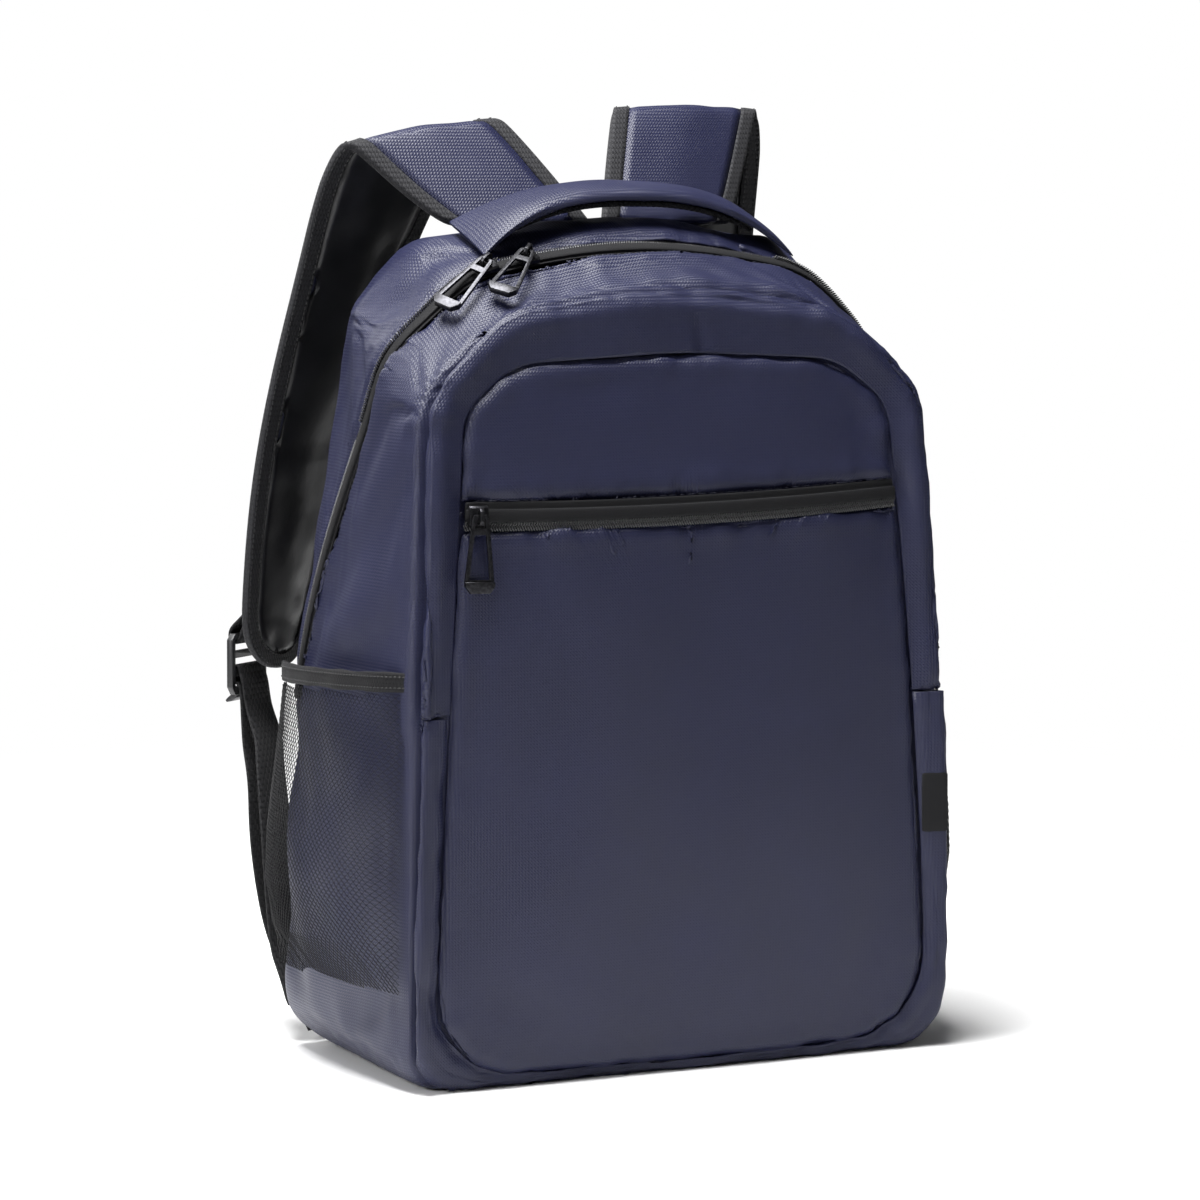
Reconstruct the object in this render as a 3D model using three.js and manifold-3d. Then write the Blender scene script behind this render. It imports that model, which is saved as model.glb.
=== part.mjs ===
// A laptop backpack that stands on its base: a soft main compartment with a zip over the top,
// a flat front pocket with its own zip, two net side pockets, a grab handle and two padded
// shoulder straps that arch up and fall behind the bag to webbing sewn in at the base.
// Millimetres. X runs to the right of the front, Y to the back, Z up from the floor.
import * as THREE from "three";
import { mergeVertices } from "three/addons/utils/BufferGeometryUtils.js";
import Module from "manifold-3d";

const wasm = await Module();
wasm.setup();

// The bag's own sizes
const WIDTH = 304;
const DEPTH = 160;
const HEIGHT = 420;
const WALL = 2;
const GAP = 0.3;

// The front pocket
const PANEL_WALL = 2.2;
const PANEL_OUT = 3;
const PANEL_CROWN = 6;
const CLEAR = 0.8;
const GUSSET_PUFF = 7;
const GUSSET_SEAM_UP = 184;
const SEAM_CUT = 1;
const FRONT_SLOT = 14.5;
const FRONT_SLOT_UP = 283;
const FRONT_SLOT_SAG = 2.5;
const FRONT_SLOT_TILT = 2.2;

// Zips, sliders and pull tabs
const MAIN_SLOT = 10;
const TAPE = 1;
const TAPE_SUNK = 0.6;
const COIL_HALF = 3;
const COIL_OUT = 1.4;
const SLIDER_LENGTH = 9.5;
const SLIDER_WALL = 1.4;
const MAIN_SLIDER_LEFT = 85;
const MAIN_SLIDER_RIGHT = 63;
const FRONT_SLIDER_IN = 5.7;

// The slider heads: how far each stands to the left of the bag's middle, or in from the front zip's left
// end, the way it points along the zip, how far its pull swings sideways and how far it dips.
const ZIP_HEADS = [
  { name: "main_zip_left", on: "main", from: MAIN_SLIDER_LEFT, turn: 180, swivel: 24, dip: 10 },
  { name: "main_zip_right", on: "main", from: MAIN_SLIDER_RIGHT, turn: 180, swivel: 42, dip: 7 },
  { name: "front_zip", on: "front", from: FRONT_SLIDER_IN, turn: 0, swivel: -90, dip: 1 },
];

const BAIL_WIDTH = 2;
const BAIL_HALF_LENGTH = 4;
const BAIL_HOLE_HALF = 2.6;
const BAIL_UP = 5.3;
const BAIL_HOLE_UP = 4;
const PULL_LENGTH = 37;
const PULL_TOP_HALF = 4.2;
const PULL_TOE_HALF = 7.4;
const PULL_THICK = 1.7;
const PULL_RAIL = 2;
const TOE_LENGTH = 5.4;
const TOE_THICK = 3.2;

// The net side pockets
const NET_THICK = 1;
const NET_BULGE = 24;
const MOUTH_BULGE = 12;
const HEM_WIDTH = 9.5;
const HEM_THICK = 1.8;

// The handle
const HANDLE_MIDDLE = 3;
const HANDLE_HALF = 87;
const HANDLE_RISE = 10.5;
const HANDLE_LIFT = 1.8;
const HANDLE_WIDTH = 42;
const HANDLE_THICK = 8;
const HANDLE_PAD_WIDTH = 30;
const HANDLE_PAD_THICK = 2.8;

// The shoulder straps
const STRAP_SEAT_OUT = 42;
const STRAP_SPREAD = 90;
const STRAP_REACH = 114;
const STRAP_RISE = 48.7;
const STRAP_FALL = 281;
const STRAP_WIDTH = 84;
const STRAP_THICK = 6.6;
const STRAP_CROWN = 1.4;
const STRAP_LIFT = 2.2;
const BINDING_WIDTH = 9;
const BINDING_THICK = 5.6;
const TIP_LENGTH = 30;
const STRAP_SLACK = 1.3;
const STRAP_LOFT = { left: -1.3, right: 11 };
const STRAP_CLOSE = { left: 0, right: 10.5 };
const STRAP_LEAN = { left: 2.2, right: 0.15 };

// Webbing and the ladder locks
const WEBBING_WIDTH = 25;
const WEBBING_THICK = 1.7;
const LOCK_WIDTH = 34;
const LOCK_THICK = 3.4;
const LOCK_BACK = 19;
const LOCK_DROP = -1;
const LOCK_SIDE = 3.2;
const LOCK_LIP = 6;

// The back pad and the label
const PAD_THICK = 7;
const PAD_MARGIN = 31;
const LABEL_LENGTH = 30;
const LABEL_THICK = 1.2;
const LABEL_UP = 127;
const LABEL_WAY = [0.3, 0.52, 0.74, 0.96];
const LABEL_OUT = new THREE.Vector3(0.55, -0.83, 0);

const NAVY = new THREE.MeshStandardMaterial({ color: 0x23264a, roughness: 0.62, metalness: 0 });
const BLACK = new THREE.MeshStandardMaterial({ color: 0x111113, roughness: 0.7, metalness: 0 });
const SATIN = new THREE.MeshStandardMaterial({ color: 0x0c0c0d, roughness: 0.4, metalness: 0 });
const BINDING = new THREE.MeshStandardMaterial({ color: 0x3a3b3d, roughness: 0.85, metalness: 0 });
const GUNMETAL = new THREE.MeshStandardMaterial({ color: 0x4a4b4d, roughness: 0.35, metalness: 0.9 });
const PLASTIC = new THREE.MeshStandardMaterial({ color: 0x19191b, roughness: 0.45, metalness: 0 });

// The main compartment's outlines from its front seam (at 0) to its back seam (at 1). Widths, rounds
// and bulge are shares of half the WIDTH, and the columns that end in Up are shares of HEIGHT.
const MAIN_SECTIONS = [
  { at: 0, base: 0.985, baseUp: 0, baseRound: 0.16, shoulder: 0.895, shoulderUp: 0.8, shoulderRound: 0.28,
    brow: 0.6, browUp: 0.9, browRound: 0.39, crownUp: 0.94, bulge: 0.004 },
  { at: 0.05, base: 1, baseUp: 0, baseRound: 0.14, shoulder: 0.928, shoulderUp: 0.81, shoulderRound: 0.29,
    brow: 0.572, browUp: 0.906, browRound: 0.39, crownUp: 0.953, bulge: 0.01 },
  { at: 0.15, base: 1.006, baseUp: 0, baseRound: 0.15, shoulder: 0.932, shoulderUp: 0.825, shoulderRound: 0.29,
    brow: 0.592, browUp: 0.928, browRound: 0.37, crownUp: 0.971, bulge: 0.022 },
  { at: 0.32, base: 1.007, baseUp: 0, baseRound: 0.16, shoulder: 0.915, shoulderUp: 0.845, shoulderRound: 0.26,
    brow: 0.63, browUp: 0.954, browRound: 0.32, crownUp: 0.988, bulge: 0.04 },
  { at: 0.58, base: 1.007, baseUp: 0, baseRound: 0.18, shoulder: 0.88, shoulderUp: 0.872, shoulderRound: 0.2,
    brow: 0.66, browUp: 0.978, browRound: 0.24, crownUp: 1.004, bulge: 0.06 },
  { at: 0.82, base: 1.003, baseUp: 0, baseRound: 0.19, shoulder: 0.835, shoulderUp: 0.895, shoulderRound: 0.14,
    brow: 0.655, browUp: 0.984, browRound: 0.18, crownUp: 1.007, bulge: 0.07 },
  { at: 1, base: 0.993, baseUp: 0, baseRound: 0.2, shoulder: 0.79, shoulderUp: 0.905, shoulderRound: 0.1,
    brow: 0.62, browUp: 0.978, browRound: 0.14, crownUp: 0.995, bulge: 0.07 },
];

// Where the front and the back of the main compartment stand at each height: shares of HEIGHT and DEPTH.
const LEAN = [
  { at: 0, front: -0.415, back: 0.5 },
  { at: 0.045, front: -0.445, back: 0.54 },
  { at: 0.12, front: -0.45, back: 0.55 },
  { at: 0.3, front: -0.45, back: 0.55 },
  { at: 0.48, front: -0.445, back: 0.54 },
  { at: 0.62, front: -0.435, back: 0.52 },
  { at: 0.76, front: -0.405, back: 0.475 },
  { at: 0.86, front: -0.37, back: 0.425 },
  { at: 0.905, front: -0.345, back: 0.39 },
  { at: 0.94, front: -0.32, back: 0.35 },
  { at: 0.97, front: -0.3, back: 0.29 },
  { at: 0.99, front: -0.295, back: 0.21 },
  { at: 1, front: -0.295, back: 0.155 },
];

// The seam round the front panel, as one outline in the same shares.
const PANEL_SECTION = {
  base: 0.925, baseUp: 0.012, baseRound: 0.3, shoulder: 0.777, shoulderUp: 0.787, shoulderRound: 0.17,
  brow: 0.585, browUp: 0.84, browRound: 0.27, crownUp: 0.85, bulge: 0.006,
};

// The main zip's way over the bag: how far it lies from the front seam to the back seam at each
// height, in shares of HEIGHT.
const ZIP_WAY = [
  { at: 0.43, across: 0.867 },
  { at: 0.505, across: 0.82 },
  { at: 0.571, across: 0.755 },
  { at: 0.64, across: 0.665 },
  { at: 0.71, across: 0.55 },
  { at: 0.78, across: 0.42 },
  { at: 0.84, across: 0.335 },
  { at: 0.89, across: 0.285 },
  { at: 0.94, across: 0.26 },
  { at: 1, across: 0.245 },
];
const ZIP_PITCH = 14;

// One shoulder strap from its seat at the top to its tip: shares of the strap's spread, reach, rise,
// fall and width, the turn of its width about Z in degrees, and how far its inner edge stands up.
const STRAP_ROWS = [
  { at: 0, out: 0, back: 0, rise: 0, fall: 0, width: 0.92, turn: -5, tilt: 0 },
  { at: 0.09, out: 0.185, back: 0.12, rise: 0.42, fall: 0, width: 0.98, turn: -4, tilt: 0.04 },
  { at: 0.2, out: 0.43, back: 0.285, rise: 0.97, fall: 0, width: 1, turn: 0, tilt: 0.07 },
  { at: 0.26, out: 0.555, back: 0.4, rise: 1, fall: 0.07, width: 0.93, turn: 4, tilt: 0.06 },
  { at: 0.42, out: 0.68, back: 0.59, rise: 1, fall: 0.245, width: 0.8, turn: 12, tilt: 0 },
  { at: 0.6, out: 0.8, back: 0.765, rise: 1, fall: 0.475, width: 0.78, turn: 16, tilt: 0 },
  { at: 0.75, out: 0.885, back: 0.9, rise: 1, fall: 0.67, width: 0.76, turn: 24, tilt: 0 },
  { at: 0.92, out: 0.945, back: 1, rise: 1, fall: 0.9, width: 0.75, turn: 34, tilt: 0 },
  { at: 1, out: 0.945, back: 1, rise: 1, fall: 1, width: 0.75, turn: 36, tilt: 0 },
];
const STRAP_SEAT_STEP = 19.2;
const STRAP_SEAT_ACROSS = 0.97;
const STRAP_BEND = [0.15, 0.27];
const STRAP_STEP = 0.06;
const TIP_STEPS = 5;

// The webbing in two runs, each from the ladder lock down: the slack run to the base, and the free
// tail. How far out (share of half the WIDTH), how far behind the foot of the back (share of
// STRAP_REACH), how high (share of the lock's own height), and the turn of its width about Z.
const SLACK_ROWS = [
  { at: 0, out: 0.875, behind: 0.545, up: 0.81, turn: 34 },
  { at: 0.2, out: 0.9, behind: 0.44, up: 0.72, turn: 33 },
  { at: 0.45, out: 0.915, behind: 0.32, up: 0.53, turn: 28 },
  { at: 0.7, out: 0.912, behind: 0.245, up: 0.33, turn: 20 },
  { at: 0.86, out: 0.9, behind: 0.19, up: 0.21, turn: 10 },
  { at: 0.94, out: 0.885, behind: 0.11, up: 0.16, turn: 3 },
  { at: 1, out: 0.88, behind: 0.066, up: 0.1, turn: 0 },
];
const TAIL_ROWS = [
  { at: 0, out: 0.893, behind: 0.637, up: 0.79, turn: 34 },
  { at: 0.2, out: 0.89, behind: 0.57, up: 0.68, turn: 31 },
  { at: 0.4, out: 0.893, behind: 0.53, up: 0.54, turn: 27 },
  { at: 0.57, out: 0.886, behind: 0.48, up: 0.39, turn: 28 },
  { at: 0.73, out: 0.872, behind: 0.395, up: 0.25, turn: 30 },
  { at: 0.88, out: 0.836, behind: 0.235, up: 0.11, turn: 34 },
  { at: 1, out: 0.81, behind: 0.17, up: 0.02, turn: 40 },
];
const WEBBING_STEPS = 12;

// Round the bars of the lock, from the slack run to the tail: along the lock, down, and out of it.
const LOCK_WAY = [
  { down: 23, out: -7.2 }, { down: 14, out: -5.9 }, { down: 8.4, out: -5 }, { down: 4.8, out: -3.7 },
  { down: 2.6, out: -3 }, { down: 0.4, out: -2.7 }, { down: -0.4, out: -1.2 }, { down: -0.5, out: 0.4 },
  { down: 0, out: 2.2 }, { down: 1.8, out: 3.2 }, { down: 3.8, out: 3.3 }, { down: 6.6, out: 2 },
  { down: 8.4, out: -1.5 }, { down: 11, out: -3.2 }, { down: 14, out: -3.7 }, { down: 21, out: -4.1 },
];
// The short webbing that is sewn on the strap and goes round the lock's top bar, in the same terms.
const LOOP_WAY = [
  { down: -50, out: -16.5 }, { down: -40, out: -14.5 }, { down: -31, out: -12.2 }, { down: -24, out: -7.6 },
  { down: -19.4, out: -4.2 }, { down: -15.6, out: -3.4 }, { down: -12.8, out: -1.8 },
  { down: -12.6, out: 0.4 },
  { down: -13.4, out: 2.7 }, { down: -17, out: 3.4 }, { down: -20.6, out: 2.2 }, { down: -25, out: -3.2 },
  { down: -31, out: -8.8 }, { down: -40, out: -11.9 },
];
// The lock's windows, down its length, and its ends.
const LOCK_ENDS = [-17.5, 14.5];
const LOCK_WINDOWS = [[-14.4, -8.4], [-4.8, 1.2], [4.8, 10.4]];

// How full a net pocket is from its foot (at 0) to its mouth (at 1), as a share of its bulge.
const NET_FULLNESS = [
  { at: 0, full: 0 },
  { at: 0.12, full: 0.55 },
  { at: 0.35, full: 1 },
  { at: 0.65, full: 0.86 },
  { at: 1, full: 0.5 },
];
const NET_FOOT_UP = { front: 49, back: 42 };
const NET_MOUTH_UP = { front: 196, back: 188 };
const NET_FRONT = 0.035;
const NET_BACK = 0.965;
const NET_ROWS = 6;
const NET_COLUMNS = 10;
const HEM_STEPS = 12;

// How many steps each run of half an outline is drawn in, from the middle of the base to the crown.
const RUNS = { floor: 1, baseArc: 4, side: 4, shoulderArc: 4, slope: 1, browArc: 4, top: 1, crownArc: 2 };
const OUTLINE_STEPS = Object.values(RUNS).reduce((sum, n) => sum + n, 0);
const CROWN_ROUND = 2;
const DEPTH_ROWS = [0, 0.02, 0.06, 0.15, 0.3, 0.45, 0.62, 0.8, 0.93, 1];

// The front gusset's rings, from the front seam (0) to the body (1).
const GUSSET_ROWS = [0, 0.12, 0.35, 0.68, 1];

const clamp = (x, low, high) => Math.min(high, Math.max(low, x));
const lerp = (a, b, t) => a + (b - a) * t;
const radians = THREE.MathUtils.degToRad;
const V = (x, y, z) => new THREE.Vector3(x, y, z);

// A table's row at any place along it, each column carried smoothly through the written rows.
function rowAt(table, at) {
  const last = table.length - 1;
  let k = 0;
  while (k < last - 1 && at > table[k + 1].at) k += 1;
  const [a, b] = [table[k], table[k + 1]];
  const [before, after] = [table[Math.max(k - 1, 0)], table[Math.min(k + 2, last)]];
  const span = b.at - a.at;
  const t = clamp((at - a.at) / span, 0, 1);
  const row = {};
  for (const key of Object.keys(a)) {
    const slopeA = (b[key] - before[key]) / (b.at - before.at) * span;
    const slopeB = (after[key] - a[key]) / (after.at - a.at) * span;
    const [t2, t3] = [t * t, t * t * t];
    row[key] = (2 * t3 - 3 * t2 + 1) * a[key] + (t3 - 2 * t2 + t) * slopeA
      + (3 * t2 - 2 * t3) * b[key] + (t3 - t2) * slopeB;
  }
  return row;
}

// A closed surface gathered ring by ring, and turned into a solid at the end.
class Skin {
  points = [];
  faces = [];

  ring(list) {
    const first = this.points.length;
    this.points.push(...list);
    return list.map((_, i) => first + i);
  }

  bridge(a, b, closed = true) {
    const n = closed ? a.length : a.length - 1;
    for (let i = 0; i < n; i += 1) {
      const j = (i + 1) % a.length;
      this.faces.push([a[i], a[j], b[j]], [a[i], b[j], b[i]]);
    }
  }

  // Closes a ring that is the same on its left as on its right, by bars from side to side.
  ladder(ring, flip) {
    const n = ring.length;
    for (let i = 0; i < n / 2; i += 1) {
      const [a, b] = [ring[i], ring[i + 1]];
      const [c, d] = [ring[(n - i - 1) % n], ring[(n - i) % n]];
      for (const face of [[a, b, c], [a, c, d]]) {
        if (new Set(face).size === 3) this.faces.push(flip ? face.reverse() : face);
      }
    }
  }

  // Closes a ring drawn by a flat profile.
  cap(ring, profile, flip) {
    const flat = profile.map(([a, b]) => new THREE.Vector2(a, b));
    const swap = flip !== THREE.ShapeUtils.isClockWise(flat);
    for (const face of THREE.ShapeUtils.triangulateShape(flat, [])) {
      const turned = face.map((i) => ring[i]);
      this.faces.push(swap ? turned.reverse() : turned);
    }
  }

  // Closes a ring to a single point.
  fan(ring, point, flip) {
    const [tip] = this.ring([point]);
    ring.forEach((a, i) => {
      const b = ring[(i + 1) % ring.length];
      this.faces.push(flip ? [b, a, tip] : [a, b, tip]);
    });
  }

  solid() {
    const flat = new Float32Array(this.points.flatMap((p) => [p.x, p.y, p.z]));
    const geometry = new THREE.BufferGeometry();
    geometry.setAttribute("position", new THREE.BufferAttribute(flat, 3));
    geometry.setIndex(this.faces.flat());
    return solidOf(geometry);
  }
}

// A closed geometry as a solid, turned right side out if it was drawn inside out.
function solidOf(geometry) {
  const bare = geometry.clone();
  bare.deleteAttribute("normal");
  bare.deleteAttribute("uv");
  const merged = mergeVertices(bare, 1e-4);
  const corners = [];
  for (let i = 0; i < merged.index.count; i += 3) {
    const [a, b, c] = [0, 1, 2].map((k) => merged.index.getX(i + k));
    if (a !== b && b !== c && a !== c) corners.push(a, b, c);
  }
  const build = (list) => new wasm.Manifold(new wasm.Mesh({
    numProp: 3,
    vertProperties: merged.attributes.position.array,
    triVerts: new Uint32Array(list),
  }));
  const made = build(corners);
  if (made.volume() > 0) return made;
  const turned = [];
  for (let i = 0; i < corners.length; i += 3) turned.push(corners[i], corners[i + 2], corners[i + 1]);
  return build(turned);
}

function meshOf(name, solid, material) {
  const { numProp, vertProperties, triVerts, numVert } = solid.getMesh();
  const flat = new Float32Array(numVert * 3);
  for (let i = 0; i < numVert; i += 1) {
    flat.set(vertProperties.subarray(i * numProp, i * numProp + 3), i * 3);
  }
  const geometry = new THREE.BufferGeometry();
  geometry.setAttribute("position", new THREE.BufferAttribute(flat, 3));
  geometry.setIndex(new THREE.BufferAttribute(new Uint32Array(triVerts), 1));
  geometry.computeVertexNormals();
  const mesh = new THREE.Mesh(geometry, material);
  mesh.name = name;
  return mesh;
}

// The arc that rounds the corner at b, between a and c.
function roundCorner(a, b, c, radius) {
  const toA = a.clone().sub(b);
  const toC = c.clone().sub(b);
  const room = Math.min(toA.length(), toC.length()) * 0.98;
  toA.normalize();
  toC.normalize();
  const half = Math.acos(clamp(toA.dot(toC), -1, 1)) / 2;
  const reach = Math.min(radius / Math.tan(half), room);
  const r = reach * Math.tan(half);
  const centre = b.clone().add(toA.clone().add(toC).normalize().multiplyScalar(r / Math.sin(half)));
  const start = b.clone().addScaledVector(toA, reach);
  const from = start.clone().sub(centre).angle();
  let sweep = b.clone().addScaledVector(toC, reach).sub(centre).angle() - from;
  if (sweep > Math.PI) sweep -= 2 * Math.PI;
  if (sweep < -Math.PI) sweep += 2 * Math.PI;
  return (t) => new THREE.Vector2(Math.cos(from + sweep * t), Math.sin(from + sweep * t))
    .multiplyScalar(r).add(centre);
}

// The right half of an outline as a function of its steps, with x out from the middle and y up.
function halfOutline(section, inset = 0) {
  const half = WIDTH / 2;
  const P = (x, z) => new THREE.Vector2(x, z);
  const foot = section.baseUp * HEIGHT + inset;
  const base = P(section.base * half - inset, foot);
  const shoulder = P(section.shoulder * half - inset, section.shoulderUp * HEIGHT - inset * 0.4);
  const brow = P(section.brow * half - inset * 0.4, section.browUp * HEIGHT - inset);
  const crown = P(0, section.crownUp * HEIGHT - inset);
  const trim = (share) => Math.max(share * half - inset, 1);
  const mirrored = P(-brow.x, brow.y);
  const arcs = [
    roundCorner(P(0, foot), base, shoulder, trim(section.baseRound)),
    roundCorner(base, shoulder, brow, trim(section.shoulderRound)),
    roundCorner(shoulder, brow, crown, trim(section.browRound)),
    roundCorner(brow, crown, mirrored, CROWN_ROUND * half),
  ];
  const run = (a, b) => (t) => a.clone().lerp(b, t);
  const runs = [
    run(P(0, foot), arcs[0](0)), arcs[0],
    run(arcs[0](1), arcs[1](0)), arcs[1],
    run(arcs[1](1), arcs[2](0)), arcs[2],
    run(arcs[2](1), arcs[3](0)), (t) => arcs[3](t / 2),
  ];
  const counts = Object.values(RUNS);
  return (step) => {
    let k = 0;
    let left = clamp(step, 0, OUTLINE_STEPS);
    while (k < counts.length - 1 && left > counts[k]) {
      left -= counts[k];
      k += 1;
    }
    const p = runs[k](left / counts[k]);
    const share = clamp(p.y / (section.shoulderUp * HEIGHT), 0, 1);
    p.x += section.bulge * half * Math.sin(Math.PI * share) * clamp(p.x / half, 0, 1);
    return p;
  };
}

// Where a place across the main compartment, front (0) to back (1), lies at a height.
function depthAt(z, across, inset = 0) {
  const lean = rowAt(LEAN, z / HEIGHT);
  return lerp(lean.front * DEPTH + inset, lean.back * DEPTH - inset, across);
}

function mainPoint(side, step, across, inset = 0) {
  const p = halfOutline(rowAt(MAIN_SECTIONS, across), inset)(step);
  return V(side * p.x, depthAt(p.y, across, inset), p.y);
}

// The step at which the side of the main compartment reaches a height.
function stepAt(across, z) {
  const line = halfOutline(rowAt(MAIN_SECTIONS, across));
  let [low, high] = [RUNS.floor, OUTLINE_STEPS - RUNS.crownArc];
  for (let k = 0; k < 30; k += 1) {
    const middle = (low + high) / 2;
    if (line(middle).y < z) low = middle;
    else high = middle;
  }
  return (low + high) / 2;
}

// The way out of the main compartment's surface at a place on it.
function mainNormal(side, step, across) {
  const [ds, da] = [0.05, 0.004];
  const along = mainPoint(side, step + ds, across).sub(mainPoint(side, step - ds, across));
  const over = mainPoint(side, step, across + da).sub(mainPoint(side, step, across - da));
  return over.cross(along).multiplyScalar(side).normalize();
}

// A whole outline, right side first, from a function of the side and the step.
function wholeOutline(pointAt) {
  const list = [];
  for (let i = 0; i < OUTLINE_STEPS; i += 1) list.push(pointAt(1, i));
  for (let i = OUTLINE_STEPS; i > 0; i -= 1) list.push(pointAt(-1, i));
  return list;
}

// Frames along a line of points: the width direction as given, the normal across it.
function framesAlong(points, widths) {
  return points.map((p, k) => {
    const next = points[Math.min(k + 1, points.length - 1)];
    const t = next.clone().sub(points[Math.max(k - 1, 0)]).normalize();
    return { p, w: widths[k].clone().normalize(), n: widths[k].clone().cross(t).normalize() };
  });
}

// A long piece: a flat profile, of points across and out, carried along frames.
function band(frames, profileAt) {
  const skin = new Skin();
  const profileOf = (k) => (typeof profileAt === "function" ? profileAt(k) : profileAt);
  const rings = frames.map(({ p, w, n }, k) => skin.ring(
    profileOf(k).map(([a, b]) => p.clone().addScaledVector(w, a).addScaledVector(n, b)),
  ));
  for (let k = 0; k + 1 < rings.length; k += 1) skin.bridge(rings[k], rings[k + 1]);
  skin.cap(rings[0], profileOf(0), true);
  skin.cap(rings.at(-1), profileOf(frames.length - 1), false);
  return skin.solid();
}

// The same frames, carried on a little at both ends.
function longer(frames, by) {
  const carry = (end, next) => ({ ...end, p: end.p.clone().add(end.p.clone().sub(next.p).setLength(by)) });
  const first = carry(frames[0], frames[1]);
  return [first, ...frames.slice(1, -1), carry(frames.at(-1), frames.at(-2))];
}

const slab = (half, low, high) => [[-half, low], [half, low], [half, high], [-half, high]];

// The hollow main compartment, open along its zip.
function mainSkin(inset) {
  const skin = new Skin();
  const ringAt = (across) => wholeOutline((side, step) => mainPoint(side, step, across, inset));
  const rings = DEPTH_ROWS.map((across) => skin.ring(ringAt(across)));
  for (let k = 0; k + 1 < rings.length; k += 1) skin.bridge(rings[k], rings[k + 1]);
  skin.ladder(rings[0], true);
  skin.ladder(rings.at(-1), false);
  return skin.solid();
}

// The main zip's frames from its left end over the crown to its right end.
function zipFrames() {
  const acrossAt = (step) => {
    let across = 0.5;
    for (let k = 0; k < 8; k += 1) {
      across = rowAt(ZIP_WAY, halfOutline(rowAt(MAIN_SECTIONS, across))(step).y / HEIGHT).across;
    }
    return across;
  };
  const stations = [];
  let last = null;
  for (let step = stepAt(ZIP_WAY[0].across, ZIP_WAY[0].at * HEIGHT); step < OUTLINE_STEPS; step += 0.05) {
    const p = mainPoint(1, step, acrossAt(step));
    if (!last || (p.distanceTo(last) > ZIP_PITCH && p.x > ZIP_PITCH / 2)) {
      stations.push(step);
      last = p;
    }
  }
  const way = [
    ...stations.map((step) => [-1, step]), [1, OUTLINE_STEPS],
    ...stations.slice().reverse().map((step) => [1, step]),
  ];
  const points = way.map(([side, step]) => mainPoint(side, step, acrossAt(step)));
  return points.map((p, k) => {
    const [side, step] = way[k];
    const n = mainNormal(side, Math.min(step, OUTLINE_STEPS - 0.06), acrossAt(step));
    if (step === OUTLINE_STEPS) n.x = 0;
    const t = points[Math.min(k + 1, points.length - 1)].clone().sub(points[Math.max(k - 1, 0)]);
    const w = n.clone().cross(t).normalize();
    return { p, w, n: t.normalize().cross(w).normalize() };
  });
}

// Tape with the coil standing out of its middle.
function zipProfile(slot) {
  const half = slot / 2 - 2 * GAP;
  return [
    [-half, -TAPE_SUNK - TAPE], [half, -TAPE_SUNK - TAPE], [half, -TAPE_SUNK], [COIL_HALF, -TAPE_SUNK],
    [COIL_HALF, COIL_OUT * 0.5], [COIL_HALF * 0.6, COIL_OUT], [-COIL_HALF * 0.6, COIL_OUT],
    [-COIL_HALF, COIL_OUT * 0.5], [-COIL_HALF, -TAPE_SUNK], [-half, -TAPE_SUNK],
  ];
}

// A place on the gusset that joins the main compartment's front seam (at 0) to the panel (at 1).
function gussetPoint(side, step, t, sunk = 0) {
  const seam = mainPoint(side, step, 0);
  const panel = panelPoint(side, step);
  seam.y -= CLEAR;
  const sideways = side * Math.sin(Math.PI * clamp(step / OUTLINE_STEPS, 0, 0.5));
  const out = V(sideways, -1.1, step > 9 ? 0.5 : 0).normalize();
  const puff = GUSSET_PUFF * Math.sin(Math.PI * Math.sqrt(t)) * clamp(seam.z / (0.1 * HEIGHT), 0.12, 1);
  return seam.lerp(panel, t).addScaledVector(out, puff - sunk);
}

// A place on the seam round the front panel.
function panelPoint(side, step, inset = 0) {
  const p = halfOutline(PANEL_SECTION, inset)(step);
  return V(side * p.x, depthAt(p.y, 0) - PANEL_OUT, p.y);
}

function gussetRing() {
  const inside = (side, step, t) => {
    const p = gussetPoint(side, step, t, t > 0 && t < 1 ? WALL : 0);
    if (t === 0) p.lerp(V(0, p.y, HEIGHT * 0.42), WALL / (WIDTH / 2));
    if (t === 1) p.y += WALL;
    p.y = Math.min(p.y, depthAt(p.z, 0) - CLEAR);
    return p;
  };
  const skin = new Skin();
  const rings = [
    ...GUSSET_ROWS.map((t) => skin.ring(wholeOutline((side, step) => gussetPoint(side, step, t)))),
    ...[1, 0.6, 0.2, 0].map((t) => skin.ring(wholeOutline((side, step) => inside(side, step, t)))),
  ];
  rings.forEach((ring, k) => skin.bridge(ring, rings[(k + 1) % rings.length]));
  return skin.solid();
}

// A crowned plate inside an outline: rings shrink from its edge to its middle.
function plate(edgeAt, faceAt, shares) {
  const skin = new Skin();
  const middle = V(0, 0, HEIGHT * 0.42);
  const ringOf = (share, front) => skin.ring(wholeOutline((side, step) => {
    const edge = edgeAt(side, step);
    const p = V(edge.x * share, 0, lerp(middle.z, edge.z, share));
    return p.setY(faceAt(p, share, front));
  }));
  const fronts = shares.map((share) => ringOf(share, true));
  const backs = shares.map((share) => ringOf(share, false));
  for (let k = 0; k + 1 < shares.length; k += 1) {
    skin.bridge(fronts[k], fronts[k + 1]);
    skin.bridge(backs[k + 1], backs[k]);
  }
  skin.bridge(backs[0], fronts[0]);
  skin.fan(fronts.at(-1), middle.clone().setY(faceAt(middle, 0, true)), false);
  skin.fan(backs.at(-1), middle.clone().setY(faceAt(middle, 0, false)), true);
  return skin.solid();
}

// The front panel's face: it crowns forward from its seam.
function panelFace(p, share, front) {
  const crown = PANEL_CROWN * (1 - share ** 3);
  return depthAt(p.z, 0) - PANEL_OUT - crown + (front ? 0 : PANEL_WALL);
}

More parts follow.
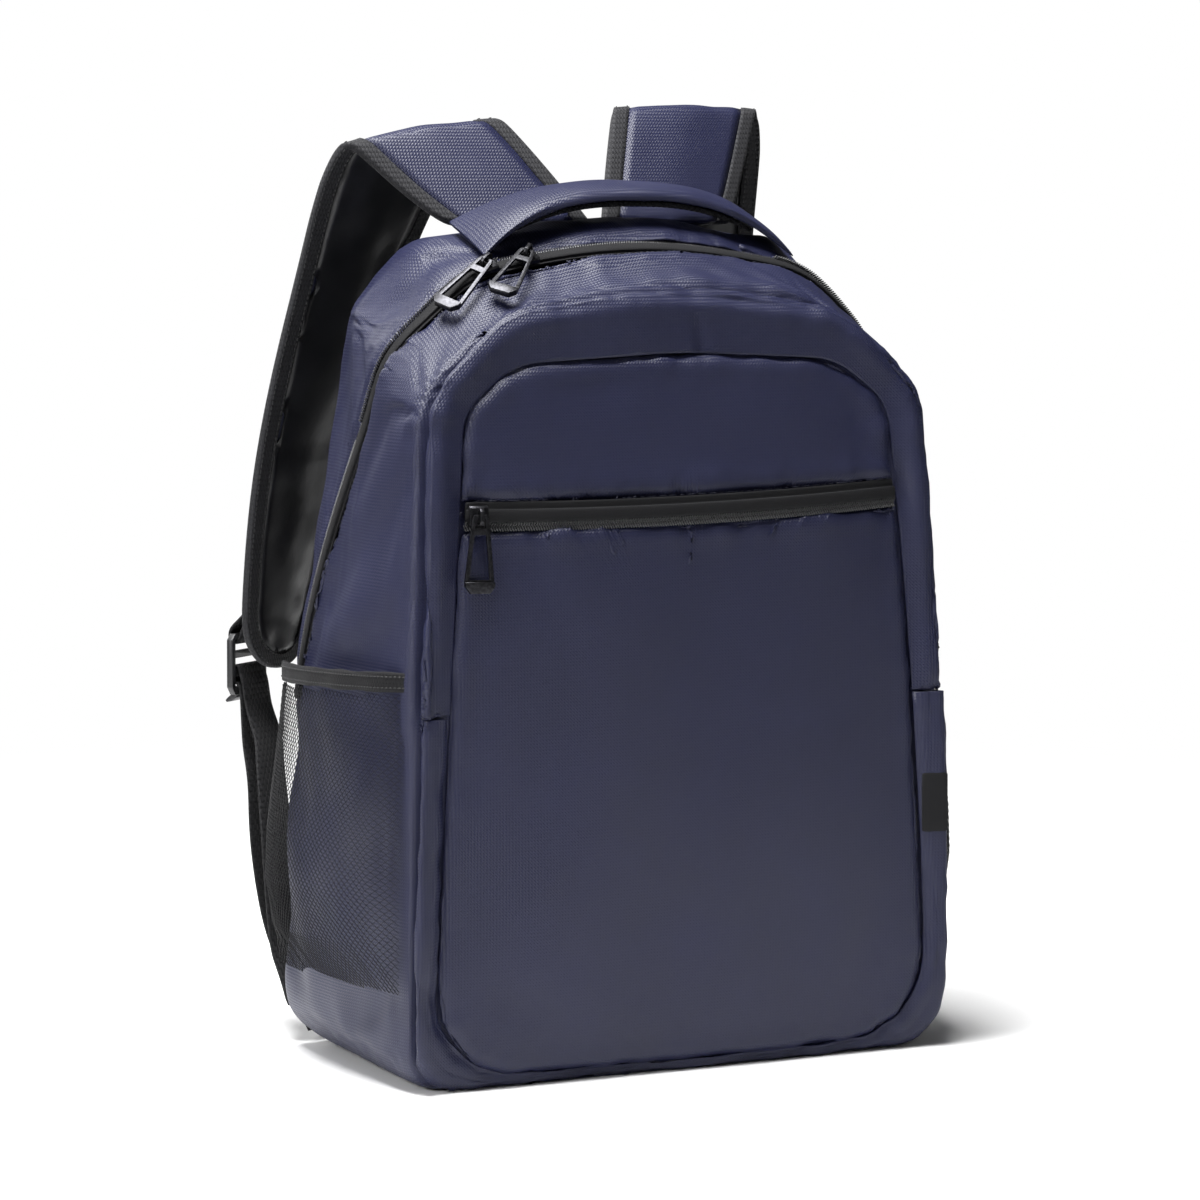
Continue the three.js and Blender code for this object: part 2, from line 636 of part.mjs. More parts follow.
function frontPlate() {
  return plate((side, step) => panelPoint(side, step, GAP), panelFace, [1, 0.9, 0.6, 0.25]);
}

// The front zip's line: straight across, a little lower in its middle.
function frontZipFrames(reach, steps) {
  const points = [];
  for (let k = 0; k <= steps; k += 1) {
    const x = lerp(-reach, reach, k / steps);
    const z = FRONT_SLOT_UP + FRONT_SLOT_TILT * (x / reach) - FRONT_SLOT_SAG * (1 - (x / reach) ** 2);
    const edge = panelHalfWidth(z);
    const share = Math.min(Math.abs(x) / edge, 1);
    points.push(V(x, panelFace(V(x, 0, z), share, true), z));
  }
  return points.map((p, k) => {
    const t = points[Math.min(k + 1, steps)].clone().sub(points[Math.max(k - 1, 0)]).normalize();
    const n = V(0, -1, 0);
    const w = n.clone().cross(t).normalize();
    return { p, w, n: t.clone().cross(w).normalize() };
  });
}

// Half the front panel's width at a height.
function panelHalfWidth(z) {
  const line = halfOutline(PANEL_SECTION, GAP);
  let [low, high] = [RUNS.floor + RUNS.baseArc, RUNS.floor + RUNS.baseArc + RUNS.side];
  for (let k = 0; k < 30; k += 1) {
    const middle = (low + high) / 2;
    if (line(middle).y < z) low = middle;
    else high = middle;
  }
  return line((low + high) / 2).x;
}

// A flat shape made thick along Z, from one height to another, with openings cut through it.
function thickened(outline, low, high, openings = []) {
  const prism = (list, from, to) => {
    const line = list.map(([x, y]) => new THREE.Vector2(x, y));
    const shape = new THREE.Shape(THREE.ShapeUtils.isClockWise(line) ? line.reverse() : line);
    const made = new THREE.ExtrudeGeometry(shape, { depth: to - from, bevelEnabled: false });
    made.translate(0, 0, from);
    return solidOf(made);
  };
  const cut = (solid, hole) => solid.subtract(prism(hole, low - 1, high + 1));
  return openings.reduce(cut, prism(outline, low, high));
}

function boxSolid(x0, x1, y0, y1, z0, z1) {
  const box = new THREE.BoxGeometry(x1 - x0, y1 - y0, z1 - z0);
  box.translate((x0 + x1) / 2, (y0 + y1) / 2, (z0 + z1) / 2);
  return solidOf(box);
}

// A slider over the coil: a channel whose bail is turned the way its pull tab hangs. Local X is across
// the zip, Y along it and Z out of the cloth, from the zip's own surface.
function sliderSolid(swivel) {
  const inside = COIL_HALF + 0.5;
  const roof = COIL_OUT + 0.5;
  const outside = inside + SLIDER_WALL;
  const top = roof + SLIDER_WALL;
  const foot = 1.2 * GAP;
  const half = SLIDER_LENGTH / 2;
  const body = thickened([
    [-outside, foot], [-inside, foot], [-inside, roof], [inside, roof], [inside, foot], [outside, foot],
    [outside, top - 1], [outside - 1, top], [1 - outside, top], [-outside, top - 1],
  ], -half, half);
  const bail = thickened([
    [-BAIL_HALF_LENGTH, top - 0.4], [BAIL_HALF_LENGTH, top - 0.4], [BAIL_HALF_LENGTH, top + BAIL_UP - 1.5],
    [BAIL_HALF_LENGTH - 1.5, top + BAIL_UP], [1.5 - BAIL_HALF_LENGTH, top + BAIL_UP],
    [-BAIL_HALF_LENGTH, top + BAIL_UP - 1.5],
  ], -BAIL_WIDTH / 2, BAIL_WIDTH / 2, [[[-1, 0.3], [1, 0.3], [1, BAIL_HOLE_UP], [-1, BAIL_HOLE_UP]]
    .map(([x, y]) => [x * BAIL_HOLE_HALF, top + y])]);
  return body.rotate([90, 0, 0]).add(bail.rotate([90, 0, 0]).rotate([0, 0, 90 + swivel]));
}
const BAR_UP = COIL_OUT + 0.5 + SLIDER_WALL + (0.3 + BAIL_HOLE_UP) / 2;

// A pull tab with two windows and a thick toe. Its bar is at the origin and it hangs along -Y.
function pullSolid() {
  const bar = 0.75;
  const window = 5.6;
  const post = 3.2;
  const toe = PULL_LENGTH - TOE_LENGTH;
  const widthAt = (y) => lerp(PULL_TOP_HALF, PULL_TOE_HALF, clamp(y / toe, 0, 1));
  const down = (list) => list.map(([x, y]) => [x, -y]);
  const hole = (from, to) => {
    const [a, b] = [widthAt(from) - PULL_RAIL, widthAt(to) - PULL_RAIL];
    return down([[-a, from], [a, from], [b, to], [-b, to]]);
  };
  const half = PULL_THICK / 2;
  const tab = thickened(down([
    [1 - PULL_TOP_HALF, -bar], [PULL_TOP_HALF - 1, -bar], [PULL_TOP_HALF, 2 * bar], [PULL_TOE_HALF, toe],
    [PULL_TOE_HALF, toe + 1], [-PULL_TOE_HALF, toe + 1], [-PULL_TOE_HALF, toe], [-PULL_TOP_HALF, 2 * bar],
  ]), -half, half, [hole(bar, window), hole(window + post, toe - 1)]);
  const block = thickened(down([
    [-PULL_TOE_HALF, toe], [PULL_TOE_HALF, toe], [PULL_TOE_HALF, toe + 2],
    [PULL_TOE_HALF - 2.6, PULL_LENGTH], [2.6 - PULL_TOE_HALF, PULL_LENGTH], [-PULL_TOE_HALF, toe + 2],
  ]), -half, TOE_THICK - half);
  return tab.add(block);
}

// A group that stands at a place on a zip, with its Y along the zip and its Z out of the cloth.
function onZip(frame) {
  const group = new THREE.Group();
  const y = frame.w.clone().cross(frame.n).negate().normalize();
  const x = y.clone().cross(frame.n).normalize();
  group.applyMatrix4(new THREE.Matrix4().makeBasis(x, y, frame.n));
  group.position.copy(frame.p);
  return group;
}

// A slider with its pull tab: the tab is swivelled in the bail and dips until its toe lies on the cloth.
function zipHead(name, frame, turn, swivel, dip) {
  const slider = onZip(frame);
  slider.rotateZ(radians(turn));
  slider.add(meshOf(`${name}_slider`, sliderSolid(swivel), GUNMETAL));
  const pull = meshOf(`${name}_pull`, pullSolid(), GUNMETAL);
  pull.position.set(0, 0, BAR_UP);
  pull.rotation.set(radians(dip), 0, radians(swivel), "ZYX");
  slider.add(pull);
  return slider;
}

// The handle's middle line, with its ends lying on the bag's top behind the zip.
function handleFrames(steps) {
  const [fore, aft] = [0.39, 0.73];
  const topAt = (x, across) => {
    const line = halfOutline(rowAt(MAIN_SECTIONS, across));
    let [low, high] = [OUTLINE_STEPS - 7, OUTLINE_STEPS];
    for (let k = 0; k < 24; k += 1) {
      const middle = (low + high) / 2;
      if (line(middle).x > Math.abs(x)) low = middle;
      else high = middle;
    }
    return mainPoint(Math.sign(x), low, across);
  };
  const ends = [-1, 1].map((side) => {
    const [a, b] = [fore, aft].map((across) => topAt(HANDLE_MIDDLE + side * HANDLE_HALF, across));
    return { p: a.clone().lerp(b, 0.5), w: b.clone().sub(a).setX(0).normalize() };
  });
  const points = [];
  const widths = [];
  for (let k = 0; k <= steps; k += 1) {
    const share = lerp(-1, 1, k / steps);
    const seat = ends[0].p.clone().lerp(ends[1].p, k / steps);
    const flat = ends[share < 0 ? 0 : 1].w;
    const up = HANDLE_LIFT + (HANDLE_RISE + HEIGHT * 0.028) * (1 - Math.abs(share) ** 2.5);
    points.push(seat.add(V(0, 0, up)));
    widths.push(V(0, 1, 0.14).normalize().lerp(flat, Math.abs(share) ** 3));
  }
  return framesAlong(points, widths).map((f) => (f.n.z < 0 ? { ...f, n: f.n.negate() } : f));
}

function handleSolids() {
  const steps = 18;
  const frames = handleFrames(steps);
  const half = HANDLE_WIDTH / 2;
  const pad = HANDLE_PAD_WIDTH / 2;
  const endShare = (k) => Math.abs(lerp(-1, 1, k / steps));
  const cover = band(frames, (k) => {
    const thick = lerp(HANDLE_THICK, 2.4, endShare(k) ** 4);
    const squeeze = lerp(0.84, 1.06, endShare(k) ** 3);
    return [[-1, 0], [1, 0], [1, 0.45], [0.72, 0.85], [0, 1], [-0.72, 0.85], [-1, 0.45]]
      .map(([a, b]) => [a * half * squeeze, b * thick]);
  });
  const under = band(frames.slice(2, -2), (k) => {
    const thick = lerp(HANDLE_PAD_THICK, 1, endShare(k + 2) ** 5);
    return slab(pad, -2 * GAP - thick, -2 * GAP);
  });
  return { cover, under };
}

// The middle line of a strap, with its width and its frame, at a share of its length.
function strapRow(side, at) {
  const row = rowAt(STRAP_ROWS, at);
  const seat = mainPoint(side, STRAP_SEAT_STEP, STRAP_SEAT_ACROSS);
  const hand = side < 0 ? "left" : "right";
  const out = STRAP_SEAT_OUT + row.out * STRAP_SPREAD - row.rise * STRAP_CLOSE[hand];
  const turn = radians(row.turn);
  const [rise, fall] = [STRAP_RISE, STRAP_FALL].map((size) => size + STRAP_LOFT[hand]);
  return {
    p: V(side * out, seat.y + row.back * STRAP_REACH,
      seat.z + STRAP_LIFT + row.rise * rise - row.fall * fall),
    w: V(-side * Math.cos(turn), Math.sin(turn), row.tilt * STRAP_LEAN[hand]).normalize(),
    width: row.width * STRAP_WIDTH,
  };
}

// Stations down a strap, a set way in from its edge: even steps, then a round tip that turns by
// quarter circle until its half width is nothing.
function strapStations(side, inset, tipTurns) {
  const length = STRAP_FALL * STRAP_SLACK;
  const tipAt = 1 - TIP_LENGTH / length;
  const list = [];
  for (let at = 0; at < tipAt - 0.02;) {
    list.push({ at, turned: 0 });
    at += at > STRAP_BEND[0] && at < STRAP_BEND[1] ? STRAP_STEP / 5 : STRAP_STEP;
  }
  list.push({ at: tipAt, turned: 0 });
  for (const turned of tipTurns) {
    list.push({ at: tipAt + ((TIP_LENGTH - inset) / length) * Math.sin(turned), turned });
  }
  return list.map(({ at, turned }) => {
    const row = strapRow(side, at);
    const [ahead, behind] = [at + 0.01, at - 0.01].map((a) => strapRow(side, clamp(a, 0, 1)).p);
    const t = ahead.sub(behind).normalize();
    const n = row.w.clone().cross(t).multiplyScalar(-side).normalize();
    return { ...row, n, half: (row.width / 2 - inset) * Math.cos(turned) };
  });
}
const tipTurns = (last) => Array.from({ length: TIP_STEPS }, (_, k) => (last * (k + 1)) / TIP_STEPS);

// One face of the strap's body, padded out: 1 is the outer face and -1 the lining.
function strapLayer(side, face) {
  const stations = strapStations(side, BINDING_WIDTH + 2 * CLEAR, tipTurns(1.35));
  const half = STRAP_THICK / 2;
  return band(stations, (k) => {
    const r = stations[k].half;
    const crown = STRAP_CROWN * Math.min(1, r / 20);
    return [[-r, GAP / 2], [r, GAP / 2], [r, half * 0.75], [0.55 * r, half], [0, half + crown],
      [-0.55 * r, half], [-r, half * 0.75]].map(([a, b]) => [a, face * b]);
  });
}

// The binding that runs down the outer edge, round the tip and up the inner edge.
function strapBinding(side) {
  const turns = tipTurns(Math.PI / 2);
  const outer = strapStations(side, 0, turns);
  const inner = strapStations(side, BINDING_WIDTH, turns);
  const edge = (sign) => outer.map((row, k) => ({
    outer: row.p.clone().addScaledVector(row.w, sign * row.half),
    inner: inner[k].p.clone().addScaledVector(inner[k].w, sign * inner[k].half),
    n: row.n,
  }));
  const skin = new Skin();
  const half = BINDING_THICK / 2;
  const rings = [...edge(-1), ...edge(1).slice(0, -1).reverse()].map((row) => skin.ring([
    row.inner.clone().addScaledVector(row.n, half), row.outer.clone().addScaledVector(row.n, half * 0.7),
    row.outer.clone().addScaledVector(row.n, -half * 0.7), row.inner.clone().addScaledVector(row.n, -half),
  ]));
  for (let k = 0; k + 1 < rings.length; k += 1) skin.bridge(rings[k], rings[k + 1]);
  const square = [[0, 0], [1, 0], [1, 1], [0, 1]];
  skin.cap(rings[0], square, true);
  skin.cap(rings.at(-1), square, false);
  return skin.solid();
}

// The lock's own frame: behind the strap's tip, with its width along the strap's.
function lockFrame(side) {
  const end = strapStations(side, 0, []).at(-1);
  const tip = strapRow(side, 1);
  const t = tip.p.clone().sub(end.p).normalize();
  const n = tip.w.clone().cross(t).multiplyScalar(-side).normalize();
  const p = tip.p.clone().addScaledVector(n, LOCK_BACK).addScaledVector(t, LOCK_DROP);
  return { p, w: tip.w, t, n };
}

function inLock(frame, { down, out }) {
  return frame.p.clone().addScaledVector(frame.t, down).addScaledVector(frame.n, out);
}

// A ladder lock: a frame with three windows and a lip that curls away from its foot.
function lockSolid(frame) {
  const half = LOCK_WIDTH / 2;
  const [top, foot] = LOCK_ENDS;
  const window = half - LOCK_SIDE;
  const windows = LOCK_WINDOWS.map(([a, b]) => [[-window, a], [window, a], [window, b], [-window, b]]);
  const body = thickened([
    [-half, top + 3], [3 - half, top], [half - 3, top], [half, top + 3],
    [half, foot - 4], [half - 3, foot], [3 - half, foot], [-half, foot - 4],
  ], -LOCK_THICK / 2, LOCK_THICK / 2, windows);
  const lip = thickened([
    [foot - 3, -LOCK_THICK / 2], [foot - 3, LOCK_THICK / 2], [foot, LOCK_THICK / 2 + 0.6],
    [foot + 2.2, LOCK_LIP - 1], [foot + 3.4, LOCK_LIP], [foot + 4.4, LOCK_LIP - 0.8],
    [foot + 3.6, 2], [foot + 1.4, -0.9],
  ], 2 - window, window - 2);
  const matrix = new THREE.Matrix4().makeBasis(frame.w, frame.t, frame.n).setPosition(frame.p);
  const sideways = lip.transform([0, 1, 0, 0, 0, 0, 1, 0, 1, 0, 0, 0, 0, 0, 0, 1]);
  return body.add(sideways).transform(matrix.elements);
}

// One webbing: from the base up behind the lock, over its middle bar and down again as the tail.
function webbingSolid(side, frame) {
  const run = (rows) => Array.from({ length: WEBBING_STEPS + 1 }, (_, k) => {
    const row = rowAt(rows, k / WEBBING_STEPS);
    const turn = radians(row.turn);
    return {
      p: V(side * row.out * (WIDTH / 2), DEPTH / 2 + row.behind * STRAP_REACH, row.up * frame.p.z),
      w: V(-side * Math.cos(turn), Math.sin(turn), 0),
    };
  });
  const way = [
    ...run(SLACK_ROWS).reverse(),
    ...LOCK_WAY.map((row) => ({ p: inLock(frame, row), w: frame.w })),
    ...run(TAIL_ROWS),
  ];
  const frames = framesAlong(way.map((row) => row.p), way.map((row) => row.w));
  return band(frames, slab(WEBBING_WIDTH / 2, -WEBBING_THICK / 2, WEBBING_THICK / 2));
}

function loopSolid(frame) {
  const points = LOOP_WAY.map((row) => inLock(frame, row));
  const section = slab(WEBBING_WIDTH / 2, -WEBBING_THICK / 2, WEBBING_THICK / 2);
  return band(framesAlong(points, points.map(() => frame.w)), section);
}

// A thin sheet between two faces that are given row by row, closed round its rim.
function sheet(pointAt, rows, columns) {
  const skin = new Skin();
  const grid = (face) => Array.from({ length: rows + 1 }, (_, r) => skin.ring(
    Array.from({ length: columns + 1 }, (_, c) => pointAt(r / rows, c / columns, face)),
  ));
  const [under, over] = [grid(0), grid(1)];
  for (let r = 0; r < rows; r += 1) {
    skin.bridge(under[r + 1], under[r], false);
    skin.bridge(over[r], over[r + 1], false);
  }
  const rim = (lines) => [
    ...lines[0], ...lines.slice(1).map((line) => line.at(-1)),
    ...lines.at(-1).slice(0, -1).reverse(), ...lines.slice(1, -1).reverse().map((line) => line[0]),
  ];
  skin.bridge(rim(under), rim(over));
  return skin.solid();
}

// How far a side pocket stands off the bag: fullest in its middle, nothing at its seams.
function pocketOff(up, along) {
  const hollow = Math.sin(Math.PI * along) ** 0.6;
  return CLEAR + hollow * lerp(NET_BULGE * rowAt(NET_FULLNESS, up).full, MOUTH_BULGE, up ** 3);
}

function pocketPoint(side, up, along, off) {
  const across = lerp(NET_FRONT, NET_BACK, along);
  const [foot, mouth] = [NET_FOOT_UP, NET_MOUTH_UP].map((at) => lerp(at.front, at.back, along));
  const step = stepAt(across, lerp(foot, mouth, up));
  return mainPoint(side, step, across)
    .addScaledVector(mainNormal(side, step, across), pocketOff(up, along) + off);
}

function hemSolid(side) {
  const points = [];
  const widths = [];
  for (let k = 0; k <= HEM_STEPS; k += 1) {
    const along = k / HEM_STEPS;
    const foot = pocketPoint(side, 1, along, HEM_THICK / 2);
    const up = V(0, 0, 1);
    points.push(foot.addScaledVector(up, GAP + HEM_WIDTH / 2));
    widths.push(up);
  }
  return band(framesAlong(points, widths), slab(HEM_WIDTH / 2, -HEM_THICK / 2, HEM_THICK / 2));
}

// The padded back, a plain plate within the back seam.
function backPad() {
  const layers = [[0, 0], [0, 0.4], [0.25, 0.85], [1, 1]];
  const skin = new Skin();
  const rings = layers.map(([inset, thick]) => skin.ring(wholeOutline((side, step) => {
    const p = halfOutline(MAIN_SECTIONS.at(-1), PAD_MARGIN + 8 * inset)(step);
    return V(side * p.x, depthAt(p.y, 1) + CLEAR + PAD_THICK * thick, p.y);
  })));
  for (let k = 0; k + 1 < rings.length; k += 1) skin.bridge(rings[k], rings[k + 1]);
  skin.ladder(rings[0], true);
  skin.ladder(rings.at(-1), false);
  return skin.solid();
}

// The blank tag that lies over the gusset beside the main seam.
function labelSolid() {
  const seat = LABEL_THICK / 2 + 2 * CLEAR;
  const points = LABEL_WAY.map((t) => gussetPoint(1, stepAt(0, LABEL_UP), t)
    .addScaledVector(LABEL_OUT, seat).setZ(LABEL_UP));
  const section = slab(LABEL_LENGTH / 2, -LABEL_THICK / 2, LABEL_THICK / 2);
  return band(framesAlong(points, points.map(() => V(0, 0, 1))), section);
}

const group = new THREE.Group();

const zip = zipFrames();
const slotCutter = band(longer(zip, 3 * GAP), slab(MAIN_SLOT / 2, -4 * WALL, 3 * WALL));
group.add(meshOf("main_compartment", mainSkin(0).subtract(mainSkin(WALL)).subtract(slotCutter), NAVY));
group.add(meshOf("main_zip", band(zip, zipProfile(MAIN_SLOT)), BLACK));

// The gusset is sewn from an upper and a lower length that meet in a seam on either side.
const gusset = gussetRing();
const everywhere = { x: WIDTH, y: DEPTH, top: 2 * HEIGHT };
const slabAt = (low, high) => boxSolid(-everywhere.x, everywhere.x, -everywhere.y, 0, low, high);
const upperSlab = slabAt(GUSSET_SEAM_UP + SEAM_CUT / 2, everywhere.top);
group.add(meshOf("front_gusset_upper", gusset.intersect(upperSlab), NAVY));
group.add(meshOf("front_gusset_lower", gusset.intersect(slabAt(-1, GUSSET_SEAM_UP - SEAM_CUT / 2)), NAVY));

// The front panel, cut across by the opening of its zip.
const panel = frontPlate();
const slotLow = (z) => FRONT_SLOT_UP - FRONT_SLOT_SAG + z;
const frontZip = frontZipFrames(panelHalfWidth(FRONT_SLOT_UP) - 2, 12);
const frontCutter = band(longer(frontZip, 12), slab(FRONT_SLOT / 2, -4 * PANEL_WALL, 4 * PANEL_WALL));
const cutPanel = panel.subtract(frontCutter);
group.add(meshOf("front_panel_upper", cutPanel.intersect(slabAt(slotLow(0), everywhere.top)), NAVY));
group.add(meshOf("front_panel_lower", cutPanel.intersect(slabAt(-1, slotLow(0))), NAVY));
group.add(meshOf("front_zip", band(frontZip, zipProfile(FRONT_SLOT)), BLACK));

// Sliders and pulls: a pair near the left of the main zip's crown and one at the front zip's left end.
const placeOn = (frames, x) => {
  const k = frames.findIndex((f) => f.p.x > x);
  const [a, b] = [frames[k - 1], frames[k]];
  const share = (x - a.p.x) / (b.p.x - a.p.x);
  return {
    p: a.p.clone().lerp(b.p, share),
    n: a.n.clone().lerp(b.n, share).normalize(),
    w: a.w.clone().lerp(b.w, share).normalize(),
  };
};
for (const head of ZIP_HEADS) {
  const [frames, across] = head.on === "main" ? [zip, -head.from] : [frontZip, frontZip[0].p.x + head.from];
  group.add(zipHead(head.name, placeOn(frames, across), head.turn, head.swivel, head.dip));
}

group.add(meshOf("back_pad", backPad(), BLACK));
group.add(meshOf("side_label", labelSolid(), BLACK));

// The grab handle.
const handle = handleSolids();
group.add(meshOf("handle_cover", handle.cover, NAVY));
group.add(meshOf("handle_pad", handle.under, BLACK));

// Everything that stands on both sides.
for (const side of [-1, 1]) {
  const hand = side < 0 ? "left" : "right";
  group.add(meshOf(`${hand}_strap_outer`, strapLayer(side, 1), NAVY));
  group.add(meshOf(`${hand}_strap_lining`, strapLayer(side, -1), SATIN));
  group.add(meshOf(`${hand}_strap_binding`, strapBinding(side), BINDING));
  const lock = lockFrame(side);
  group.add(meshOf(`${hand}_lock`, lockSolid(lock), PLASTIC));
  group.add(meshOf(`${hand}_lock_loop`, loopSolid(lock), BLACK));
  group.add(meshOf(`${hand}_webbing`, webbingSolid(side, lock), BLACK));
  const netAt = (up, along, face) => pocketPoint(side, up, along, face * NET_THICK);
  group.add(meshOf(`${hand}_net`, sheet(netAt, NET_ROWS, NET_COLUMNS), BLACK));
  group.add(meshOf(`${hand}_net_hem`, hemSolid(side), BLACK));
}

export default group;
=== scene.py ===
"""The looks of a soft laptop backpack: sewn nylon panels, padded straps, zips, net pockets and webbing."""

import math

import bmesh
import bpy
import numpy as np
from mathutils import Matrix, Vector, noise
from mathutils.bvhtree import BVHTree
from mathutils.kdtree import KDTree


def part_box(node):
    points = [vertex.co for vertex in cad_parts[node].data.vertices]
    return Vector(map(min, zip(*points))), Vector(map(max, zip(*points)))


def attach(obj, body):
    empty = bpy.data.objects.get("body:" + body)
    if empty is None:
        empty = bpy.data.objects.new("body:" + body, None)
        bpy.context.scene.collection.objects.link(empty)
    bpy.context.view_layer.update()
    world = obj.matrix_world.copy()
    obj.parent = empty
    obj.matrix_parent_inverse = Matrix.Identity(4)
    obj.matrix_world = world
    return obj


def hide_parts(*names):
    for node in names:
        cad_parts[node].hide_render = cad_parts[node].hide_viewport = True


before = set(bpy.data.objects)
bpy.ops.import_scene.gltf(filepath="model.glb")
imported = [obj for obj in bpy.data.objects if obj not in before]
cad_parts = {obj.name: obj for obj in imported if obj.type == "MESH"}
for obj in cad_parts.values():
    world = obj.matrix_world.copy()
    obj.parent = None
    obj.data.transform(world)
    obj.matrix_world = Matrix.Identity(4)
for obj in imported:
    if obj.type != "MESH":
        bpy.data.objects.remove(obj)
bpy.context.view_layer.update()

MM = 0.001
SIDES = ("left", "right")

# The photograph's view: a square frame with the camera low and to the bag's left.
PHOTO_SIZE = 1200
VIEW_AZIMUTH = math.radians(-27)
VIEW_ELEVATION = math.radians(5.272)
VIEW_DISTANCE = 2.2826
VIEW_LENS = 135
VIEW_SENSOR = 36
VIEW_AIM_ACROSS = -0.00939
VIEW_AIM_UP = 0.2294

# Cloth and thread.
NYLON_PITCH = 1.15 * MM
NYLON_COLOUR = (0.0085, 0.01, 0.034)
SKIN_WALL = 1.2 * MM
THREAD_RADIUS = 0.36 * MM
STITCH_LENGTH = 2.4 * MM
STITCH_PITCH = 3.1 * MM
HEM_STITCH_PITCH = 2.4 * MM
HEM_STITCH_LENGTH = 1.8 * MM
BINDING_STITCH_PITCH = 2.8 * MM
BINDING_STITCH_LENGTH = 2.1 * MM
COIL_PITCH = 1.35 * MM
COIL_WIDTH = 3.6 * MM
COIL_WIRE = 0.62 * MM
NET_CELL = 3.6 * MM
NET_CORD = 0.42 * MM

# Folds and dents read off the photograph: where each starts and ends in its frame, in pixels, how far
# to each side it reaches and how far it rises, in millimetres.
FOLDS = [
    {"on": "front_gusset_upper", "start": (690, 288), "end": (702, 352), "reach": 3.2, "rise": -1.6},
    {"on": "front_gusset_upper", "start": (716, 384), "end": (742, 404), "reach": 8, "rise": -4},
    {"on": "front_gusset_upper", "start": (690, 398), "end": (716, 384), "reach": 6, "rise": -2.4},
    {"on": "front_gusset_upper", "start": (448, 404), "end": (476, 440), "reach": 7, "rise": -4.5},
    {"on": "front_gusset_upper", "start": (470, 372), "end": (486, 392), "reach": 9, "rise": -3},
    {"on": "front_gusset_upper", "start": (876, 424), "end": (898, 444), "reach": 6, "rise": -3.5},
    {"on": "front_gusset_upper", "start": (896, 468), "end": (906, 496), "reach": 6, "rise": -2.5},
    {"on": "front_gusset_upper", "start": (798, 276), "end": (816, 296), "reach": 6, "rise": -2.2},
    {"on": "front_gusset_upper", "start": (440, 470), "end": (440, 560), "reach": 10, "rise": 1.6},
    {"on": "front_gusset_lower", "start": (428, 990), "end": (452, 1052), "reach": 7, "rise": -3},
    {"on": "front_gusset_lower", "start": (410, 960), "end": (420, 1000), "reach": 9, "rise": 2},
    {"on": "front_gusset_lower", "start": (560, 1074), "end": (640, 1068), "reach": 6, "rise": -1.2},
    {"on": "front_gusset_lower", "start": (905, 1000), "end": (925, 1030), "reach": 7, "rise": -2},
    {"on": "main_compartment", "start": (372, 292), "end": (352, 400), "reach": 9, "rise": 2.4},
    {"on": "main_compartment", "start": (398, 300), "end": (372, 392), "reach": 10, "rise": -2.6},
    {"on": "main_compartment", "start": (560, 226), "end": (640, 204), "reach": 6, "rise": -1.5},
    {"on": "main_compartment", "start": (420, 262), "end": (452, 250), "reach": 8, "rise": -2},
    {"on": "main_compartment", "start": (340, 560), "end": (316, 640), "reach": 12, "rise": -1.8},
    {"on": "main_compartment", "start": (380, 480), "end": (352, 620), "reach": 16, "rise": 1.6},
    {"on": "front_panel_lower", "start": (600, 640), "end": (560, 900), "reach": 40, "rise": 1},
    {"on": "front_panel_lower", "start": (478, 620), "end": (470, 780), "reach": 9, "rise": -1},
    {"on": "front_panel_lower", "start": (500, 1000), "end": (560, 1030), "reach": 12, "rise": -1.4},
    {"on": "front_panel_lower", "start": (860, 980), "end": (880, 900), "reach": 12, "rise": -1.2},
    {"on": "front_panel_upper", "start": (560, 400), "end": (620, 380), "reach": 10, "rise": -1},
    {"on": "front_panel_upper", "start": (850, 400), "end": (870, 440), "reach": 8, "rise": -1.2},
]


def camera_frame():
    """Eye, right, up and forward of the photograph's view."""
    a, e = VIEW_AZIMUTH, VIEW_ELEVATION
    back = Vector((math.sin(a) * math.cos(e), -math.cos(a) * math.cos(e), math.sin(e)))
    right = Vector((math.cos(a), math.sin(a), 0))
    aim = right * VIEW_AIM_ACROSS + Vector((0, 0, VIEW_AIM_UP))
    return aim + back * VIEW_DISTANCE, right, right.cross(-back), -back


def photo_ray(pixel):
    """Where the ray through a pixel of the photograph starts and how it runs."""
    eye, right, up, forward = camera_frame()
    focal = VIEW_LENS / VIEW_SENSOR * PHOTO_SIZE
    across = (pixel[0] - PHOTO_SIZE / 2) / focal
    rise = (PHOTO_SIZE / 2 - pixel[1]) / focal
    return eye, (forward + right * across + up * rise).normalized()


def add_object(name, mesh):
    obj = bpy.data.objects.new(name, mesh)
    bpy.context.scene.collection.objects.link(obj)
    return obj


def coordinates(mesh):
    flat = np.zeros(len(mesh.vertices) * 3)
    mesh.vertices.foreach_get("co", flat)
    return flat.reshape(-1, 3)


def set_coordinates(mesh, points):
    mesh.vertices.foreach_set("co", np.ascontiguousarray(points).ravel())
    mesh.update()


def normals(mesh):
    flat = np.zeros(len(mesh.vertices) * 3)
    mesh.vertex_normals.foreach_get("vector", flat)
    return flat.reshape(-1, 3)


def welded(node):
    """A node's shape as one welded mesh of quads where its triangles pair up."""
    bm = bmesh.new()
    bm.from_mesh(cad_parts[node].data)
    bmesh.ops.remove_doubles(bm, verts=bm.verts, dist=0.00002)
    bmesh.ops.dissolve_degenerate(bm, edges=bm.edges, dist=0.00002)
    bmesh.ops.join_triangles(
        bm, faces=bm.faces, angle_face_threshold=math.radians(40), angle_shape_threshold=math.radians(60)
    )
    return bm


def keep_outside(bm, centre):
    """Deletes the faces that look towards the centre, which leaves the outer skin of a thin shell."""
    inner = [f for f in bm.faces if f.normal.dot(f.calc_center_median() - Vector(centre)) < 0]
    bmesh.ops.delete(bm, geom=inner, context="FACES")


